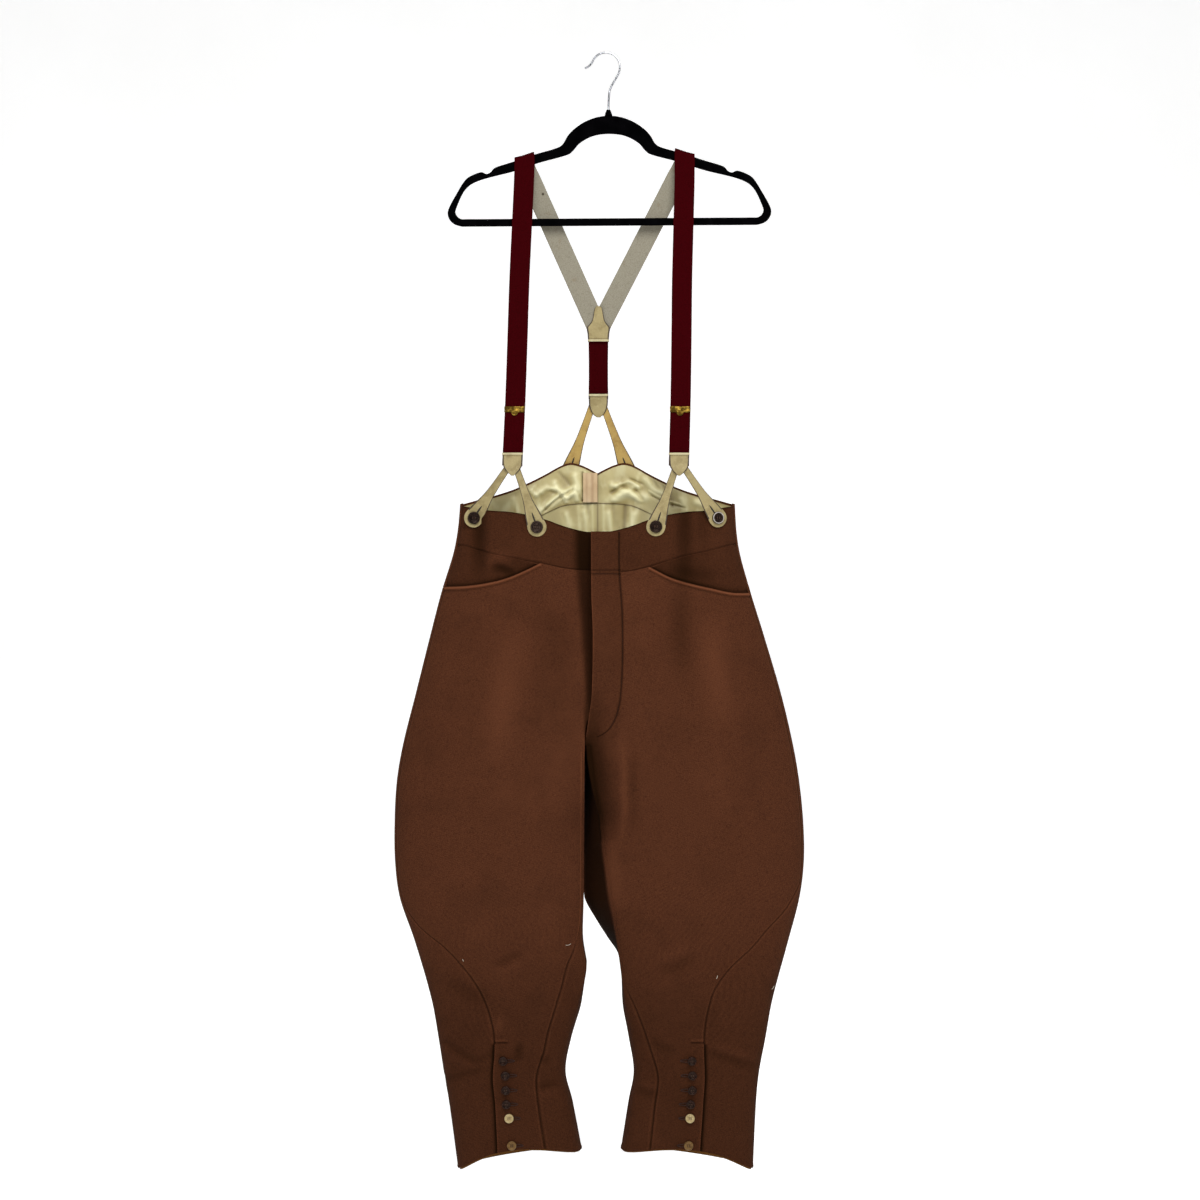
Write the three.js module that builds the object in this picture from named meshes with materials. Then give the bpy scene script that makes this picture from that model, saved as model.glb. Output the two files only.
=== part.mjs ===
// Riding jodhpurs, full in the thigh and buttoned at the calf, held by their braces on a flocked
// clothes hanger. Millimetres, +Z up, the garment's front faces -Y and its wearer's left is +X.
// The origin is the inside of the top of the hanger's hook, where a rail carries it.
import * as THREE from 'three';

// Thicknesses and clearances
const CLOTH = 1.8;
const LINING = 1;
const LEATHER = 1.6;
const WEBBING = 1.8;
const GAP = 0.3; // between pieces that meet edge to edge
const LAYER_GAP = 1.2; // between pieces that lie on each other, whose flat facets differ

// The garment
const CENTRE_X = -11.6; // the middle of the waist, a little to one side of the hook
const FORK_Z = -950; // where the legs part
const FLATNESS = 2.6; // power of the section's rounded outline: 2 is an ellipse, more is flatter
const INNER_ROUND = 0.95; // how far the leg's inner edge has turned round, of a half outline
const INNER_ROUND_DROP = 110; // drop below the fork over which that edge becomes round
const WALK_STEP = 0.004; // between the two places whose line gives the cloth's direction
const SIDE_SEAM = 0.985; // the side seam's place across the front in the trunk
const WAIST_LINING_DROP = 2; // the lining stays this far below the back's top edge
const CURTAIN_DROP = 1; // and the curtain this far below the lining's top edge
const POCKET_TUCK = { up: 8, down: 25 }; // how far a pocket facing runs behind its two edges
const POCKET_FIRST_COLUMN = 4;
const BUTTON_STAND = { firstColumn: 6, rows: 4 };
const HEM_FACING = { below: 2, above: 18, opening: 0.004 };
const STRIP = { width: 20, top: -574, bottom: -616 };

const RIGHT = { name: 'right', sign: -1 };
const LEFT = { name: 'left', sign: 1 };

// The garment level by level. SIDES are the x of the outer sides.
const SIDES = [
  { z: -560, right: -200, left: 177 },
  { z: -625, right: -201, left: 177.5 },
  { z: -680, right: -208, left: 182.5 },
  { z: -740, right: -226, left: 198.5 },
  { z: -800, right: -241.5, left: 217 },
  { z: -880, right: -261.5, left: 240.5 },
  { z: -950, right: -279, left: 257 },
  { z: -1000, right: -287.5, left: 265.5 },
  { z: -1055, right: -290.5, left: 271 },
  { z: -1110, right: -290, left: 272 },
  { z: -1160, right: -283.5, left: 266 },
  { z: -1220, right: -263, left: 250.5 },
  { z: -1300, right: -240, left: 229 },
  { z: -1355, right: -230, left: 219 },
  { z: -1400, right: -223, left: 210.5 },
  { z: -1440, right: -216, left: 206.5 },
  { z: -1535, right: -203, left: 202 },
];

// The x of each front's inner edge: above the fork the right front passes under the fly, and
// below it these are the inner creases of the legs.
const FRONT_EDGES = [
  { z: -560, right: 14, left: -20.5 },
  { z: -740, right: 14, left: -20 },
  { z: -800, right: 14, left: -18 },
  { z: -880, right: 0, left: -19.5 },
  { z: -915, right: -25, left: -24 },
  { z: -950, right: -28.7, left: -28.1 },
  { z: -1000, right: -29.3, left: -22.5 },
  { z: -1055, right: -29.8, left: -11 },
  { z: -1110, right: -30.3, left: -0.5 },
  { z: -1160, right: -30.5, left: 6 },
  { z: -1220, right: -31.5, left: 15 },
  { z: -1255, right: -26.5, left: 19.5 },
  { z: -1300, right: -36.5, left: 26 },
  { z: -1355, right: -53, left: 36.5 },
  { z: -1400, right: -60.5, left: 43 },
  { z: -1440, right: -51, left: 36 },
  { z: -1535, right: -33, left: 21 },
];

// The x of each back's inner edge: the centre back seam, then the legs' inner creases behind
const BACK_EDGES = [
  { z: -560, right: -11.6, left: -11.6 },
  { z: -680, right: -11.6, left: -11.6 },
  { z: -740, right: -13, left: -13 },
  { z: -800, right: -17, left: -17 },
  { z: -880, right: -24, left: -24 },
  { z: -915, right: -27.2, left: -27.2 },
  { z: -950, right: -30.7, left: -30.2 },
  { z: -1000, right: -31.3, left: -30.5 },
  { z: -1055, right: -31.7, left: -30.9 },
  { z: -1110, right: -32, left: -31.1 },
  { z: -1150, right: -32, left: -31.1 },
  { z: -1168, right: -32, left: -28.4 },
  { z: -1195, right: -32, left: -13 },
  { z: -1220, right: -31.5, left: 3 },
  { z: -1240, right: -28.5, left: 16.5 },
  { z: -1255, right: -26.5, left: 19.3 },
  { z: -1300, right: -36.5, left: 26 },
  { z: -1355, right: -53, left: 36.5 },
  { z: -1400, right: -60.5, left: 43 },
  { z: -1440, right: -51, left: 36 },
  { z: -1535, right: -33, left: 21 },
];

// How deep the cloth stands in front of and behind the hanger's middle plane
const DEPTHS = [
  { z: -560, front: 39, back: 41 },
  { z: -625, front: 40, back: 43 },
  { z: -680, front: 43, back: 45 },
  { z: -740, front: 46, back: 49 },
  { z: -800, front: 48, back: 52 },
  { z: -880, front: 50, back: 55 },
  { z: -1000, front: 50, back: 54 },
  { z: -1055, front: 50, back: 52 },
  { z: -1110, front: 48, back: 50 },
  { z: -1160, front: 46, back: 47 },
  { z: -1220, front: 42, back: 43 },
  { z: -1300, front: 37, back: 38 },
  { z: -1355, front: 34, back: 35 },
  { z: -1400, front: 33, back: 34 },
  { z: -1535, front: 34, back: 35 },
];

// Levels below the waistband at which every panel has a row, so that seams meet point to point
const LEVELS = [
  -760, -805, -850, -900, FORK_Z, -990, -1030, -1070, -1110, -1150, -1185, -1220, -1255, -1290,
  -1325, -1360, -1400, -1440, -1480,
];
const TOP_ROWS = 4; // rows of the back from its top edge to the first of those levels
const FRONT_COLUMNS = 12;
const BACK_COLUMNS = 12;
const WRAP_STEPS = [0, 0.3, 0.6, 0.85, 1]; // the back's strip on the front of the calf
const WALL_STEPS = [1 / 3, 2 / 3, 1]; // the inside of the leg
const INSEAM_STEPS = [0.5, 1]; // the back's strip between the inner edge and the inside leg seam

// Edges by their distance from the centre line
const WAIST_TOP = [
  { across: 0, z: -659 },
  { across: 16, z: -659 },
  { across: 36, z: -654.5 },
  { across: 52, z: -649.5 },
  { across: 68, z: -643.5 },
  { across: 97, z: -636 },
  { across: 121, z: -632 },
  { across: 148, z: -630 },
  { across: 172, z: -626 },
  { across: 190, z: -623 },
];
const BACK_TOP = [
  { across: 0, z: -575.5 },
  { across: 8, z: -571 },
  { across: 22, z: -564.5 },
  { across: 37, z: -561 },
  { across: 51, z: -565 },
  { across: 70, z: -575.5 },
  { across: 91, z: -586.5 },
  { across: 111, z: -596 },
  { across: 140, z: -606 },
  { across: 165, z: -613 },
  { across: 190, z: -621 },
];
const WAIST_SEAM = [
  { across: 0, right: -712, left: -712 },
  { across: 35, right: -710, left: -715 },
  { across: 60, right: -705.5, left: -710 },
  { across: 84, right: -700, left: -696 },
  { across: 120, right: -693, left: -689 },
  { across: 150, right: -687, left: -685 },
  { across: 190, right: -676, left: -675 },
];
const POCKET_MOUTH = [
  { across: 60, right: -690, left: -700 },
  { across: 80, right: -701, left: -711 },
  { across: 100, right: -711.5, left: -721.5 },
  { across: 125, right: -722.5, left: -729.5 },
  { across: 150, right: -729, left: -735.5 },
  { across: 180, right: -733, left: -742 },
  { across: 212, right: -734, left: -742 },
];
const CURTAIN_SEAM = [
  { across: 0, z: -617.5 },
  { across: 45, z: -620.5 },
  { across: 75, z: -633 },
  { across: 110, z: -650 },
  { across: 190, z: -684 },
];

// The hem by its place across the leg, from the inner edge to the side
const HEM = [
  { across: 0, front: -1506, back: -1506 },
  { across: 0.3, front: -1499.5, back: -1513 },
  { across: 0.55, front: -1501.5, back: -1519 },
  { across: 0.77, front: -1511, back: -1525 },
  { across: 1, front: -1531.5, back: -1531.5 },
];

// The two seams that show on the front of each leg, as parts of the way from inner edge to side
const LEG_SEAMS = [
  { z: -1140, rightOuter: 0.985, leftOuter: 0.985, rightInner: 0.014, leftInner: 0.014 },
  { z: -1175, rightOuter: 0.972, leftOuter: 0.925, rightInner: 0.015, leftInner: 0.014 },
  { z: -1200, rightOuter: 0.922, leftOuter: 0.85, rightInner: 0.022, leftInner: 0.014 },
  { z: -1225, rightOuter: 0.817, leftOuter: 0.78, rightInner: 0.05, leftInner: 0.014 },
  { z: -1252, rightOuter: 0.738, leftOuter: 0.673, rightInner: 0.12, leftInner: 0.015 },
  { z: -1280, rightOuter: 0.667, leftOuter: 0.595, rightInner: 0.138, leftInner: 0.02 },
  { z: -1305, rightOuter: 0.618, leftOuter: 0.563, rightInner: 0.15, leftInner: 0.057 },
  { z: -1340, rightOuter: 0.568, leftOuter: 0.535, rightInner: 0.163, leftInner: 0.098 },
  { z: -1370, rightOuter: 0.557, leftOuter: 0.532, rightInner: 0.168, leftInner: 0.128 },
  { z: -1405, rightOuter: 0.58, leftOuter: 0.548, rightInner: 0.215, leftInner: 0.168 },
  { z: -1440, rightOuter: 0.605, leftOuter: 0.563, rightInner: 0.25, leftInner: 0.179 },
  { z: -1506, rightOuter: 0.648, leftOuter: 0.574, rightInner: 0.26, leftInner: 0.19 },
];

// Soft troughs in the hanging cloth: each runs from 'top' down to 'bottom' round the line at x
const FOLDS = [
  { half: 'right', face: 'front', x: -160, width: 13, top: -560, bottom: -745, depth: 7 },
  { half: 'left', face: 'front', x: 107, width: 10, top: -560, bottom: -735, depth: 7 },
  { half: 'left', face: 'front', x: 132, width: 8, top: -560, bottom: -700, depth: 3 },
  { half: 'left', face: 'front', x: 104, width: 18, top: -735, bottom: -860, depth: 4 },
  { half: 'right', face: 'back', x: -106, width: 18, top: -560, bottom: -760, depth: 7 },
  { half: 'left', face: 'back', x: 84, width: 18, top: -560, bottom: -790, depth: 7 },
  { half: 'right', face: 'back', x: -92, width: 26, top: -880, bottom: -1170, depth: 6 },
  { half: 'left', face: 'back', x: 58, width: 24, top: -900, bottom: -1190, depth: 6 },
];

// The groove beside the fly, where the right front dips to pass under it
const FLY_GROOVE = [
  { z: -640, crest: -47, depth: 6 },
  { z: -700, crest: -45, depth: 12 },
  { z: -740, crest: -43, depth: 17 },
  { z: -800, crest: -39, depth: 16 },
  { z: -850, crest: -34, depth: 12 },
  { z: -895, crest: -30, depth: 7 },
  { z: -918, crest: -29.4, depth: 3.5 },
  { z: -950, crest: -29.2, depth: 0 },
];

// The fly's stitched side: how far it runs to the left of the centre front at each level
const FLY = {
  cloth: 1,
  bottom: -938,
  levels: [-760, -805, -850, -900, -920],
  bandMiddle: -685,
  steps: [0, 0.35, 0.7, 1],
};
const FLY_LINE = [
  { z: -650, x: 20 },
  { z: -712, x: 20 },
  { z: -760, x: 23.5 },
  { z: -805, x: 24.5 },
  { z: -850, x: 23.5 },
  { z: -900, x: 17 },
  { z: -922, x: 8 },
  { z: -940, x: -12 },
];

// Buttons, by diameter, thickness and place
const BUTTON_SHAPE = { sides: 12, sunk: 0.7, rimFoot: 1.6 }; // shares of the height and the rim
const CALF_BUTTON = { radius: 6.35, height: 2.6, rim: 1.2, standOff: 0.9 };
const BRACE_BUTTON = { radius: 8.7, height: 3.2, rim: 1.6, standOff: 0.4 };
const CALF_BUTTONS = [
  { z: -1379, right: -140, left: 116.7, slot: 'horn' },
  { z: -1399, right: -137, left: 117.5, slot: 'horn' },
  { z: -1419, right: -136.5, left: 117.2, slot: 'horn' },
  { z: -1438, right: -135.6, left: 115, slot: 'horn' },
  { z: -1457, right: -132, left: 114.2, slot: 'cream' },
  { z: -1494, right: -128.3, left: 112.3, slot: 'tan' },
];

// The braces. A tab starts behind its shield and ends in a round end on a button of the waistband.
const BRACE = {
  halfWidth: 13.8,
  topZ: -147, // level where the straps leave the hanger
  hangerY: 5.1, // distance of a strap from the hanger's middle plane
  frontEndZ: -570,
  frontEndY: 43,
  backEndZ: -581,
  backEndY: 44.2,
  rise: 3.2, // of the strap's middle over the hanger's shoulder
  backTurn: 1.2, // how far the strap's slant has gone on turning behind the hanger
  layerRun: 1.5, // how soon the strap reaches its own layer behind, in its runs to the yoke
};
const STRAP_FRONT_STEPS = [1, 0.8, 0.6, 0.4, 0.2, 0.08];
const STRAP_BACK_STEPS = [0.1, 0.3, 0.6, 0.85, 1];
// Over the shoulder: part of the way to the back face, drop, and how far the slant has turned
const STRAP_OVER = [
  { y: -1, drop: 14, part: 0.25 },
  { y: -1, drop: 5, part: 0.7 },
  { y: -0.8, drop: 1, part: 1 },
  { y: 0, drop: 0, part: 1 },
  { y: 0.8, drop: 1, part: 1 },
  { y: 1, drop: 5, part: 1.1 },
  { y: 1, drop: 14, part: 1.2 },
];
const TABS = [
  { name: 'right_outer_tab', half: RIGHT, startX: -134, x: -182, z: -640, standOff: 2.4 },
  { name: 'right_inner_tab', half: RIGHT, startX: -121.5, x: -93.7, z: -653, standOff: 0.9 },
  { name: 'left_inner_tab', half: LEFT, startX: 94.2, x: 67.4, z: -652.5, standOff: 0.9 },
  { name: 'left_outer_tab', half: LEFT, startX: 106.6, x: 151, z: -640, standOff: 2 },
];
const TAB_OUTLINE = [
  { along: 0, half: 4.6 },
  { along: 0.3, half: 5.2 },
  { along: 0.55, half: 6.6 },
  { along: 0.8, half: 10.5 },
];
const TAB_END = [
  { beyond: -5, half: 12.4 },
  { beyond: 0, half: 13 },
  { beyond: 5, half: 12 },
  { beyond: 9, half: 9.4 },
  { beyond: 12, half: 5 },
  { beyond: 13, half: 1.2 },
];
const TAB_START_Z = -573.5;
const BACK_TABS = [
  { name: 'right_back_tab', half: RIGHT, startX: -17, x: -54, z: -581 },
  { name: 'left_back_tab', half: LEFT, startX: -6, x: 34, z: -581 },
];
const BACK_TAB_START_Z = -475.5;
const BACK_TAB_STAND_OFF = 1.8;
const FRONT_SHIELD = [
  { z: -552.8, half: 13.8 },
  { z: -566, half: 13.3 },
  { z: -572, half: 12 },
  { z: -577, half: 8.5 },
  { z: -580.5, half: 5 },
  { z: -583.5, half: 1.5 },
];
const BACK_SHIELD = [
  { z: -466, half: 13.2 },
  { z: -480, half: 13 },
  { z: -489, half: 10.5 },
  { z: -494, half: 7 },
  { z: -497.6, half: 2 },
];
const YOKE = [
  { z: -345, half: 2.5 },
  { z: -348, half: 5.2 },
  { z: -356, half: 6.8 },
  { z: -365, half: 9 },
  { z: -370, half: 12.5 },
  { z: -374, half: 16 },
  { z: -382, half: 15.2 },
  { z: -393, half: 14.4 },
];
const BACK_X = -10.5; // the yoke, elastic and back shield hang here
const STRAPS = [
  { name: 'right_strap', topX: -112, endX: -127, backX: -9.5, layer: -1.15 },
  { name: 'left_strap', topX: 108, endX: 99, backX: -12.5, layer: 1.15 },
];
const STRAP_BACK_END_Z = -381;
const ELASTIC = { levels: [-389, -430, -472.5], half: 13.8 };
const YOKE_SPREAD = 1.5; // room between the yoke's leathers for the two crossed straps
const ADJUSTER = {
  z: -493, width: 28, height: 8, tabRadius: 4.6, thickness: 1.2, standOff: 0.3,
};

// The hanger, measured from the middle of its bar's length, and the wire hook
const HANGER = { x: 3.4, thickness: 6, tilt: THREE.MathUtils.degToRad(0.35), shoulderSlope: 0.34 };
const HANGER_OUTER = [
  { x: 0, z: -86 },
  { x: 17, z: -88 },
  { x: 34, z: -94.5 },
  { x: 48, z: -104 },
  { x: 57, z: -113.5 },
  { x: 64, z: -125 },
  { x: 74, z: -130.5 },
  { x: 102, z: -138.5 },
  { x: 129, z: -147.5 },
  { x: 156, z: -156 },
  { x: 163, z: -162.5 },
  { x: 169, z: -165 },
  { x: 176, z: -162.5 },
  { x: 187, z: -166 },
  { x: 198, z: -173 },
  { x: 209, z: -190 },
  { x: 221, z: -212 },
  { x: 222, z: -223 },
  { x: 216, z: -232 },
  { x: 205, z: -236.5 },
];
const HANGER_INNER = [
  { x: 0, z: -110.5 },
  { x: 22, z: -113.5 },
  { x: 40, z: -123 },
  { x: 50, z: -134 },
  { x: 60, z: -140 },
  { x: 97, z: -150 },
  { x: 130, z: -161 },
  { x: 178, z: -173.5 },
  { x: 198, z: -186 },
  { x: 210, z: -210 },
  { x: 211.5, z: -219 },
  { x: 205, z: -226.3 },
];
const HOOK = { wire: 1.4, sides: 8, steps: 36 };
const HOOK_LINE = [
  { x: 3.4, z: -85 },
  { x: 3.7, z: -65 },
  { x: 5.5, z: -50 },
  { x: 12, z: -37 },
  { x: 17.5, z: -27 },
  { x: 19.3, z: -17.5 },
  { x: 16.5, z: -8 },
  { x: 9.5, z: -1.2 },
  { x: 0, z: 1.4 },
  { x: -9.5, z: -1 },
  { x: -16, z: -6.5 },
  { x: -19.6, z: -13 },
  { x: -24, z: -17.8 },
  { x: -29.4, z: -20.5 },
];
const COLLAR = { inner: 1.8, base: 5.2, top: 2.6, height: 8, sides: 16 };

const FINISH = {
  twill: { color: 0x512e1f, roughness: 0.95, metalness: 0 },
  lining: { color: 0xc7bc90, roughness: 0.6, metalness: 0 },
  strip: { color: 0xc8ae7f, roughness: 0.7, metalness: 0 },
  facing: { color: 0x8a5a28, roughness: 0.8, metalness: 0 },
  burgundy: { color: 0x400209, roughness: 0.9, metalness: 0 },
  leather: { color: 0xb1a175, roughness: 0.7, metalness: 0 },
  tan: { color: 0xc8a55a, roughness: 0.65, metalness: 0 },
  horn: { color: 0x302926, roughness: 0.35, metalness: 0 },
  creamButton: { color: 0xbeaa78, roughness: 0.4, metalness: 0 },
  tanButton: { color: 0x82643c, roughness: 0.5, metalness: 0 },
  brass: { color: 0xc9ab5a, roughness: 0.25, metalness: 1 },
  flock: { color: 0x0a0a0c, roughness: 1, metalness: 0 },
  chrome: { color: 0xc8cacc, roughness: 0.15, metalness: 1 },
};

const garment = new THREE.Group();

function add(name, geometry, finish) {
  const mesh = new THREE.Mesh(geometry, new THREE.MeshStandardMaterial(FINISH[finish]));
  mesh.name = name;
  garment.add(mesh);
  return mesh;
}

function mix(from, to, part) {
  return from + (to - from) * part;
}

function smooth(part) {
  const inside = Math.min(Math.max(part, 0), 1);
  return inside * inside * (3 - 2 * inside);
}

// Reads a column of a table at a place between its rows, on a smooth curve through them.
function read(table, key, column, at) {
  const last = table.length - 1;
  const rising = table[last][key] > table[0][key] ? 1 : -1;
  let row = 0;
  while (row < last - 1 && rising * (at - table[row + 1][key]) > 0) row += 1;
  const slopeAt = (index) => {
    const before = table[Math.max(index - 1, 0)];
    const after = table[Math.min(index + 1, last)];
    return (after[column] - before[column]) / (after[key] - before[key]);
  };
  const span = table[row + 1][key] - table[row][key];
  const part = Math.min(Math.max((at - table[row][key]) / span, 0), 1);
  const start = table[row][column];
  const end = table[row + 1][column];
  const leave = slopeAt(row) * span;
  const arrive = slopeAt(row + 1) * span;
  const square = part * part;
  const cube = square * part;
  const bend = (cube - 2 * square + part) * leave + (cube - square) * arrive;
  return mix(start, end, 3 * square - 2 * cube) + bend;
}

// One half's outline at a level: its side, its inner edges, its depths, and how far its inner
// edge has turned round.
function section(half, z) {
  const round = -INNER_ROUND * smooth((FORK_Z - z) / INNER_ROUND_DROP);
  return {
    side: read(SIDES, 'z', half.name, z),
    frontEdge: read(FRONT_EDGES, 'z', half.name, z),
    backEdge: read(BACK_EDGES, 'z', half.name, z) + half.sign * GAP / 2,
    front: read(DEPTHS, 'z', 'front', z),
    back: read(DEPTHS, 'z', 'back', z),
    round,
  };
}

function troughs(half, face, x, z) {
  let depth = 0;
  for (const fold of FOLDS) {
    if (fold.half !== half.name || fold.face !== face) continue;
    const along = (fold.top - z) / (fold.top - fold.bottom);
    if (along <= 0 || along >= 1) continue;
    const across = (x - fold.x) / fold.width;
    depth += fold.depth * Math.sin(Math.PI * along) * Math.exp(-across * across);
  }
  return depth;
}

function flyGroove(half, x, z) {
  if (half !== RIGHT || z < FORK_Z) return 0;
  const crest = read(FLY_GROOVE, 'z', 'crest', z);
  const edge = read(FRONT_EDGES, 'z', 'left', z);
  return read(FLY_GROOVE, 'z', 'depth', z) * smooth((x - crest) / Math.max(edge - crest, 1));
}

// A point of the front or back at a part of the way from its inner edge (0) to the side (1)
function facePoint(half, face, z, part) {
  const level = section(half, z);
  const turned = mix(level.round, 1, part);
  const depth = (1 - Math.min(Math.abs(turned), 1) ** FLATNESS) ** (1 / FLATNESS);
  if (face === 'front') {
    const x = mix(level.frontEdge, level.side, part);
    const dip = troughs(half, face, x, z) + flyGroove(half, x, z);
    return { x, y: -Math.max(level.front * depth - dip, 0) };
  }
  const x = mix(level.backEdge, level.side, part);
  return { x, y: Math.max(level.back * depth - troughs(half, face, x, z), 0) };
}

// A point of one half at a level. The walk starts at the front's inner edge (0), rounds the side
// (1) to the back's inner edge (2), and below the fork returns along the inside of the leg (3).
function walkPoint(half, z, walk) {
  if (walk <= 1) return facePoint(half, 'front', z, walk);
  if (walk <= 2) return facePoint(half, 'back', z, 2 - walk);
  if (walk >= 3) return facePoint(half, 'front', z, walk - 3);
  const behind = facePoint(half, 'back', z, 0);
  const ahead = facePoint(half, 'front', z, 0);
  return { x: mix(behind.x, ahead.x, walk - 2), y: mix(behind.y, ahead.y, walk - 2) };
}

// The direction straight out of the cloth, level with the floor
function walkNormal(half, z, walk) {
  const step = WALK_STEP;
  const isLeg = z <= FORK_Z;
  const before = walk - step < 0 ? (isLeg ? walk - step + 3 : 0) : walk - step;
  const after = isLeg ? walk + step : Math.min(walk + step, 2);
  const from = walkPoint(half, z, before);
  const to = walkPoint(half, z, after);
  const length = Math.hypot(to.x - from.x, to.y - from.y);
  return { x: half.sign * (to.y - from.y) / length, y: -half.sign * (to.x - from.x) / length };
}

// The place of a leg's seam across its front, moved aside by a distance in millimetres
function seam(half, which, z, aside) {
  const level = section(half, z);
  const width = Math.abs(level.side - level.frontEdge);
  const start = which === 'Outer' ? SIDE_SEAM : 0;
  const place = z > FORK_Z ? start : read(LEG_SEAMS, 'z', `${half.name}${which}`, z);
  return Math.max(place + aside / width, 0);
}

function hemZ(walk) {
  if (walk <= 1) return read(HEM, 'across', 'front', walk);
  if (walk <= 2) return read(HEM, 'across', 'back', 2 - walk);
  if (walk <= 3) return HEM[0].front;
  return read(HEM, 'across', 'front', walk - 3);
}

// Distance from the centre line at the level of the waist seam
function acrossFront(half, part, z) {
  return Math.max(half.sign * (facePoint(half, 'front', z, part).x - CENTRE_X), 0);
}

function acrossBack(half, part, z) {
  return Math.max(half.sign * (facePoint(half, 'back', z, part).x - CENTRE_X), 0);
}

// Columns crowd towards both ends, where the section bends most.
function crowded(index, count) {
  return (1 - Math.cos(Math.PI * index / count)) / 2;
}

// A closed solid from a list of points and triangles, turned to face outwards
function solid(points, triangles) {
  const position = new Float32Array(points.flatMap((point) => [point.x, point.y, point.z]));
  let volume = 0;
  for (const [a, b, c] of triangles) {
    const first = new THREE.Vector3().copy(points[a]);
    volume += first.dot(new THREE.Vector3().copy(points[b]).cross(points[c]));
  }
  const facing = volume > 0 ? triangles : triangles.map(([a, b, c]) => [a, c, b]);
  const geometry = new THREE.BufferGeometry();
  geometry.setAttribute('position', new THREE.BufferAttribute(position, 3));
  geometry.setIndex(facing.flat());
  geometry.computeVertexNormals();
  return geometry;
}

// A closed wall between an outer and an inner net of points, where a cell may be left out
function wall(outer, inner, isThere) {
  const rows = outer.length;
  const columns = outer[0].length;
  const points = [];
  const numbers = new Map();
  const vertex = (net, side, row, column) => {
    const key = `${side}/${row}/${column}`;
    if (!numbers.has(key)) {
      numbers.set(key, points.length);
      points.push(net[row][column]);
    }
    return numbers.get(key);
  };
  const cell = (row, column) => {
    const inside = row >= 0 && column >= 0 && row < rows - 1 && column < columns - 1;
    return inside && isThere(row, column);
  };
  const triangles = [];
  const quad = (a, b, c, d) => triangles.push([a, b, c], [a, c, d]);
  for (let row = 0; row < rows - 1; row += 1) {
    for (let column = 0; column < columns - 1; column += 1) {
      if (!cell(row, column)) continue;
      const corners = [[row, column], [row, column + 1], [row + 1, column + 1], [row + 1, column]];
      const front = corners.map(([r, c]) => vertex(outer, 'outer', r, c));
      const back = corners.map(([r, c]) => vertex(inner, 'inner', r, c));
      quad(...front);
      triangles.push([back[0], back[2], back[1]], [back[0], back[3], back[2]]);
      if (!cell(row - 1, column)) quad(front[1], front[0], back[0], back[1]);
      if (!cell(row, column + 1)) quad(front[2], front[1], back[1], back[2]);
      if (!cell(row + 1, column)) quad(front[3], front[2], back[2], back[3]);
      if (!cell(row, column - 1)) quad(front[0], front[3], back[3], back[0]);
    }
  }
  return solid(points, triangles);
}

// A piece of cloth over a net of places on one half, moved in from the garment's face by 'inset'
function cloth(half, net, { thickness = CLOTH, inset = 0, isThere = () => true } = {}) {
  const moved = (distance) => net.map((row) => row.map(({ z, walk }) => {
    const point = walkPoint(half, z, walk);
    const normal = walkNormal(half, z, walk);
    const shift = { x: normal.x * distance, y: normal.y * distance };
    return new THREE.Vector3(point.x - shift.x, point.y - shift.y, z);
  }));
  return wall(moved(inset), moved(inset + thickness), isThere);
}

const frontParts = Array.from({ length: FRONT_COLUMNS + 1 }, (_, i) => crowded(i, FRONT_COLUMNS));
const backParts = Array.from({ length: BACK_COLUMNS + 1 }, (_, i) => crowded(i, BACK_COLUMNS));

function frontWalk(half, z, part) {
  return mix(seam(half, 'Inner', z, GAP / 2), seam(half, 'Outer', z, -GAP / 2), part);
}

// The edges of the front's pieces at a part of the way across
const REFERENCE = { waistTop: -640, waistSeam: -700, mouth: -728, backTop: -600 };

function waistTopZ(half, part) {
  const walk = frontWalk(half, REFERENCE.waistTop, part);
  return read(WAIST_TOP, 'across', 'z', acrossFront(half, walk, REFERENCE.waistTop));
}

function waistSeamZ(half, part) {
  const walk = frontWalk(half, REFERENCE.waistSeam, part);
  return read(WAIST_SEAM, 'across', half.name, acrossFront(half, walk, REFERENCE.waistSeam));
}

function mouthZ(half, part) {
  const walk = frontWalk(half, REFERENCE.mouth, part);
  return read(POCKET_MOUTH, 'across', half.name, acrossFront(half, walk, REFERENCE.mouth));
}

function frontNet(half) {
  const top = frontParts.map((part) => {
    const z = Math.min(waistSeamZ(half, part) - GAP, mouthZ(half, part));
    return { z, walk: frontWalk(half, z, part) };
  });
  const middle = LEVELS.map((z) => frontParts.map((part) => ({ z, walk: frontWalk(half, z, part) })));
  const hem = frontParts.map((part) => {
    const z = hemZ(frontWalk(half, HEM[0].front, part));
    return { z, walk: frontWalk(half, z, part) };
  });
  return [top, ...middle, hem];
}

// The back's columns in order: its strip on the front of the calf, the back itself, the inside of
// the leg, and its strip up to the inside leg seam. The last two are only there below the fork.
function backWalks(half, z) {
  const outer = seam(half, 'Outer', z, GAP / 2);
  const inner = seam(half, 'Inner', Math.min(z, FORK_Z), -GAP / 2);
  return [
    ...WRAP_STEPS.map((step) => mix(outer, 1, step)),
    ...backParts.slice(1).map((part) => 1 + part),
    ...WALL_STEPS.map((step) => 2 + step),
    ...INSEAM_STEPS.map((step) => 3 + inner * step),
  ];
}

const TRUNK_COLUMNS = WRAP_STEPS.length + BACK_COLUMNS - 1; // cells of the back above the fork

function backTopZ(half, walk, drop) {
  const z = REFERENCE.backTop;
  const across = walk < 1 ? acrossFront(half, walk, z) : acrossBack(half, Math.max(2 - walk, 0), z);
  return read(BACK_TOP, 'across', 'z', across) - drop;
}

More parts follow.
